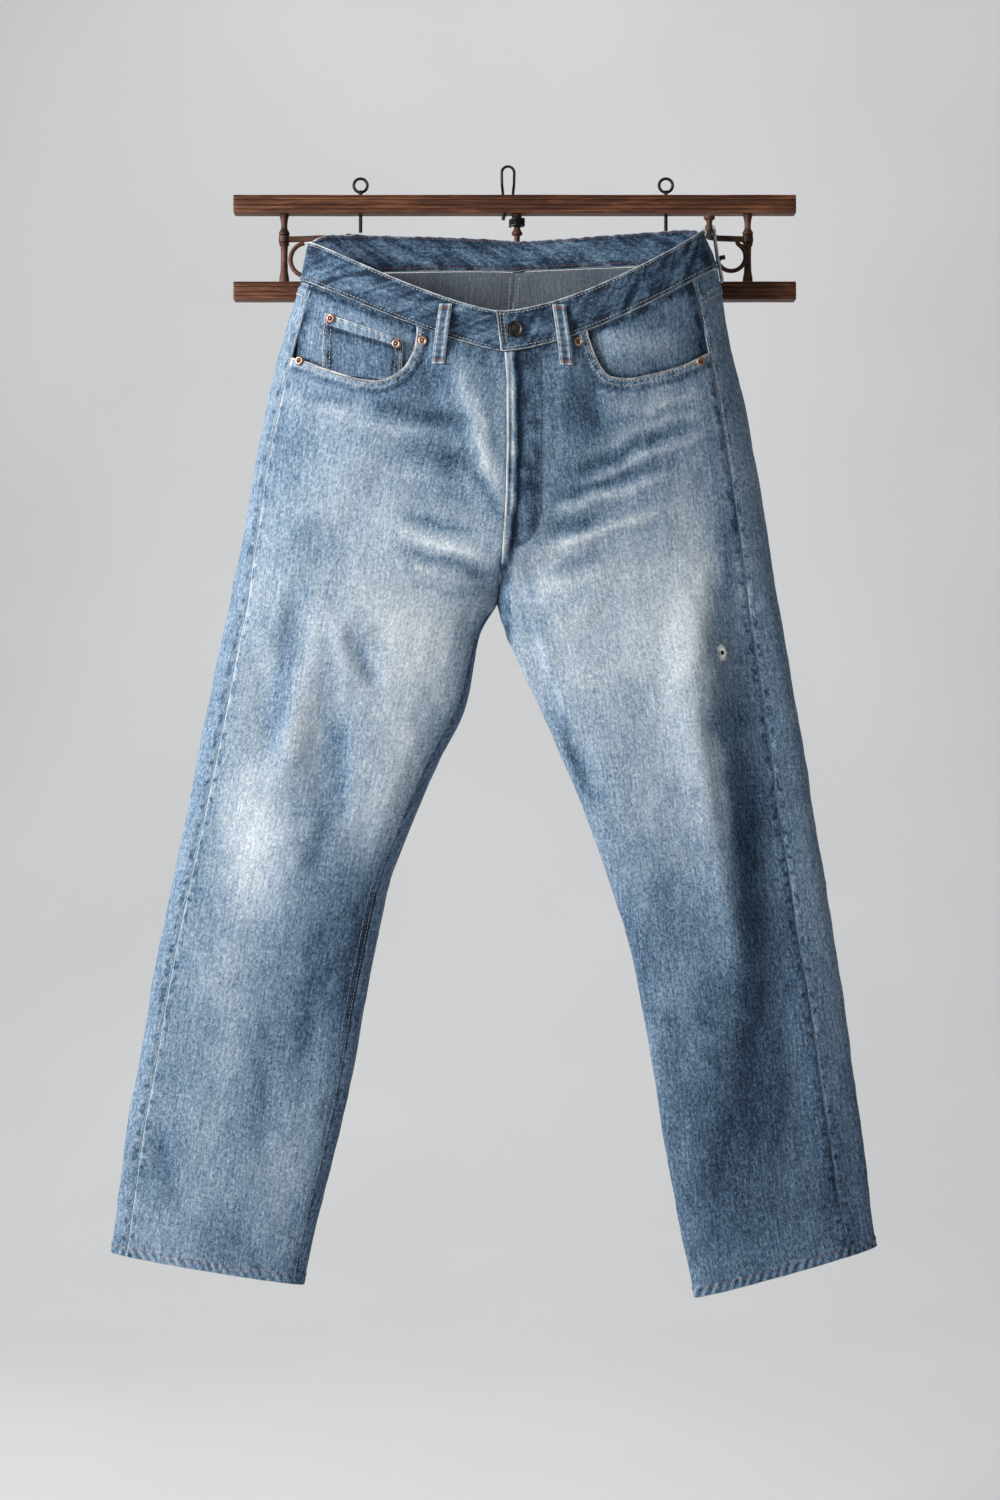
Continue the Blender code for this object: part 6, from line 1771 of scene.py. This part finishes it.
def makeBar(name):
    look = rackLook
    clearSelection()
    bpy.ops.mesh.primitive_cube_add(size=1, location=(0, 0, 0))
    bar = bpy.context.object
    bar.name = name
    bpy.ops.transform.resize(value=(look["length"] * mm, look["depth"] * mm, look["height"] * mm))
    bpy.ops.object.transform_apply(location=False, rotation=False, scale=True)
    # cut rows across the face, then sink the middle row of each groove
    bpy.ops.object.mode_set(mode="EDIT")
    cuts = sorted(z + shift for z in look["grooves"] for shift in (-1.1, -0.5, 0.5, 1.1))
    for z in cuts:
        bpy.ops.mesh.select_all(action="SELECT")
        bpy.ops.mesh.bisect(plane_co=(0, 0, z * mm), plane_no=(0, 0, 1))
    for k in range(1, 60):
        bpy.ops.mesh.select_all(action="SELECT")
        bpy.ops.mesh.bisect(plane_co=((-0.5 + k / 60) * look["length"] * mm, 0, 0), plane_no=(1, 0, 0))
    bpy.ops.object.mode_set(mode="OBJECT")
    mesh = bar.data
    for vertex in mesh.vertices:
        z = vertex.co.z / mm
        if vertex.co.y < 0 and any(abs(abs(z - groove) - 0.5) < 0.1 for groove in look["grooves"]):
            vertex.co.y += 1.3 * mm
    addBevel(bar, "round", look["round"], 3, 80)
    applyAll(bar)
    # the old wood isn't quite straight or smooth
    for vertex in mesh.vertices:
        place = vertex.co * 14
        vertex.co.z += 0.30 * mm * noise.noise(Vector((place.x, 0, 3.1)))
        vertex.co.y += 0.25 * mm * noise.noise(Vector((place.x, place.z * 6, 1.7)))
    bpy.ops.object.shade_smooth_by_angle(angle=math.radians(35))
    for vertex in mesh.vertices:
        vertex.co.x += look["centreX"] * mm
        vertex.co.z += look["zs"][name] * mm
    mesh.materials.append(oiledWood)
    return bar


for name in rackLook["zs"]:
    pieces[name] = makeBar(name)
for side, x in postX.items():
    post = turnedPiece("rack_post_" + side, ((0.0, -0.3),) + postProfile, 28, metals["oldIron"])
    post.data.transform(Matrix.Translation((x * mm, 0, -49.0 * mm)))
    pieces["rack_post_" + side] = post
for node in ("rack_arm_left", "rack_arm_right", "eye_screw_left", "eye_screw_right", "hanging_wire"):
    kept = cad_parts[node]
    kept.data.materials.clear()
    kept.data.materials.append(metals["oldIron" if node.startswith("rack_arm") else "blackWire"])
print("rack made")


# frayed threads round the worn hole: loose ends of weft and warp that stand from its rim
def makeFray():
    clearSelection()
    centre, out = clothAt("left", "front", hole["x"], hole["z"])[:2]
    rear = Cloth(pieces["front_left"])
    strands = []
    for k in range(90):
        angle = 2 * math.pi * k / 90 + 0.5 * math.sin(k * 2.1)
        inner = hole["radius"] * (0.45 + 0.35 * abs(math.sin(k * 1.7)))
        outer = hole["radius"] * (1.45 + 0.65 * abs(math.sin(k * 2.9)))
        flat = []
        tip = 0.1 + 0.5 * math.sin(k * 3.3)
        for reach, lift in ((outer, 0.15), (hole["radius"] * 0.95, 0.5), (inner, tip)):
            bend = angle + 0.3 * math.sin(k * 5.1) * (1 - reach / outer)
            place = centre + np.array([reach * math.cos(bend) * 0.86, 0, reach * math.sin(bend)])
            landed = rear.land(place, out, 6)
            base = landed[0] if landed and reach > hole["radius"] else place
            flat.append(base + out * lift)
        strands.append(flat)
    curve = bpy.data.curves.new("fray", "CURVE")
    curve.dimensions = "3D"
    curve.bevel_depth = 0.3 * mm
    curve.bevel_resolution = 1
    for flat in strands:
        spline = curve.splines.new("POLY")
        spline.points.add(len(flat) - 1)
        for point, place in zip(spline.points, flat):
            point.co = (*(place * mm), 1)
    piece = bpy.data.objects.new("fray", curve)
    bpy.context.scene.collection.objects.link(piece)
    pick(piece)
    bpy.ops.object.convert(target="MESH")
    piece = bpy.context.object
    piece.data.materials.append(threads["white"])
    bpy.ops.object.shade_smooth()
    return piece


stitches["fray"] = makeFray()
print("frayed hole made")


def register(piece, slot, *nodes):
    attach(piece, "root")
    if nodes:
        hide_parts(*nodes)


slotNames = {"pocket_bag": "pocketing", "rivet": "copper", "waist_button": "bronze", "rack_bar": "wood",
             "rack_post": "iron"}
for node, piece in pieces.items():
    slot = next((slotNames[start] for start in slotNames if node.startswith(start)), "denim")
    nodes = ("waistband_left", "waistband_right") if node == "waistband" else (node,)
    register(piece, slot, *nodes)
for piece in stitches.values():
    register(piece, "denim")

# every sheet's cut, in metres: width, length and flat area
cuts = {
    "front_right": (0.31, 0.995, 0.205), "front_left": (0.31, 1.005, 0.214),
    "back_right": (0.40, 1.04, 0.286), "back_left": (0.39, 1.05, 0.275),
    "waistband": (0.04, 0.92, 0.0368),
    "yoke_right": (0.245, 0.062, 0.0099), "yoke_left": (0.24, 0.068, 0.0114),
    "pocket_facing_right": (0.175, 0.172, 0.0203), "pocket_facing_left": (0.165, 0.172, 0.0186),
    "pocket_bag_right": (0.14, 0.195, 0.0188), "pocket_bag_left": (0.115, 0.188, 0.0149),
    "back_pocket_right": (0.146, 0.14, 0.0179), "back_pocket_left": (0.142, 0.14, 0.0172),
    "coin_pocket": (0.086, 0.062, 0.0044), "fly_shield": (0.06, 0.196, 0.0115),
    "belt_loop_front_right": (0.013, 0.06, 0.00078), "belt_loop_front_left": (0.013, 0.06, 0.00078),
    "belt_loop_back_right": (0.013, 0.056, 0.00072), "belt_loop_back_centre": (0.013, 0.056, 0.00072),
    "belt_loop_back_left": (0.013, 0.07, 0.0009),
}
for node, (width, length, area) in cuts.items():
    if node == "waistband":
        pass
    elif node.startswith("back_pocket"):
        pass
    elif node.startswith("back"):
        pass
    else:
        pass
print("pieces registered, sheets declared:", len(cuts))


# pale floor and backdrop in one sweep, well behind the rack
stageLook = {"tone": shade(226, 226, 226), "floorZ": -1.75, "backY": 4.6, "bend": 2.6, "halfWidth": 8.0}


def makeStage(look):
    tree = Tree("paleSweep")
    tone = tree.noise(tree.space(), 1.2, 2.0, 0.5)
    colour = tree.ramp(tone, ((0.3, look["tone"]), (0.7, tuple(min(1.0, c * 1.06) for c in look["tone"]))))
    material = tree.finish(colour, 0.95, specular=0.1)
    clearSelection()
    bpy.ops.mesh.primitive_plane_add(size=1)
    sweep = bpy.context.object
    sweep.name = "sweep"
    editAll()
    bpy.ops.transform.resize(value=(look["halfWidth"] * 2, 1, 1))
    bpy.ops.object.mode_set(mode="OBJECT")
    mesh = sweep.data
    for vertex in mesh.vertices:
        vertex.co.y = -7.0 if vertex.co.y < 0 else look["backY"] - look["bend"]
        vertex.co.z = look["floorZ"]
    mesh.update()
    bpy.ops.object.mode_set(mode="EDIT")
    bpy.ops.mesh.select_all(action="DESELECT")
    bpy.ops.object.mode_set(mode="OBJECT")
    bpy.context.tool_settings.mesh_select_mode = (False, True, False)
    for edge in mesh.edges:
        edge.select = all(mesh.vertices[k].co.y > 0 for k in edge.vertices)
    bpy.ops.object.mode_set(mode="EDIT")
    centre = (0, look["backY"] - look["bend"], look["floorZ"] + look["bend"])
    bpy.ops.mesh.spin(steps=32, angle=-math.pi / 2, center=centre, axis=(1, 0, 0))
    bpy.ops.object.mode_set(mode="OBJECT")
    bpy.ops.object.mode_set(mode="EDIT")
    bpy.ops.mesh.extrude_region_move(TRANSFORM_OT_translate={"value": (0, 0, 4.5)})
    endFacingOut()
    mesh.materials.append(material)
    bpy.ops.object.shade_smooth()


lightLook = {"key": 84.0, "keySize": 1.1, "keyPlace": (-2.0, -1.15, 0.2), "fill": 1.5, "ambient": 0.22}


def addLight(name, place, target, size, power):
    bpy.ops.object.light_add(type="AREA", location=place)
    lamp = bpy.context.object
    lamp.name = name
    lamp.data.size = size
    lamp.data.energy = power
    lamp.rotation_euler = (Vector(target) - Vector(place)).to_track_quat("-Z", "Y").to_euler()


makeStage(stageLook)
addLight("keyLight", lightLook["keyPlace"], (0.0, 0.0, -0.62), lightLook["keySize"], lightLook["key"])
addLight("fillLight", (2.4, -2.2, -0.3), (0.0, 0.0, -0.7), 2.2, lightLook["fill"])
addLight("sweepLight", (0.0, 1.0, 2.4), (0.0, 4.4, -0.4), 2.6, 76.0)
world = bpy.data.worlds.new("studio")
world.use_nodes = True
world.node_tree.nodes["Background"].inputs["Color"].default_value = (0.93, 0.96, 1.0, 1)
world.node_tree.nodes["Background"].inputs["Strength"].default_value = lightLook["ambient"]
bpy.context.scene.world = world
bpy.context.scene.view_settings.view_transform = "Standard"
print("stage and lights set")
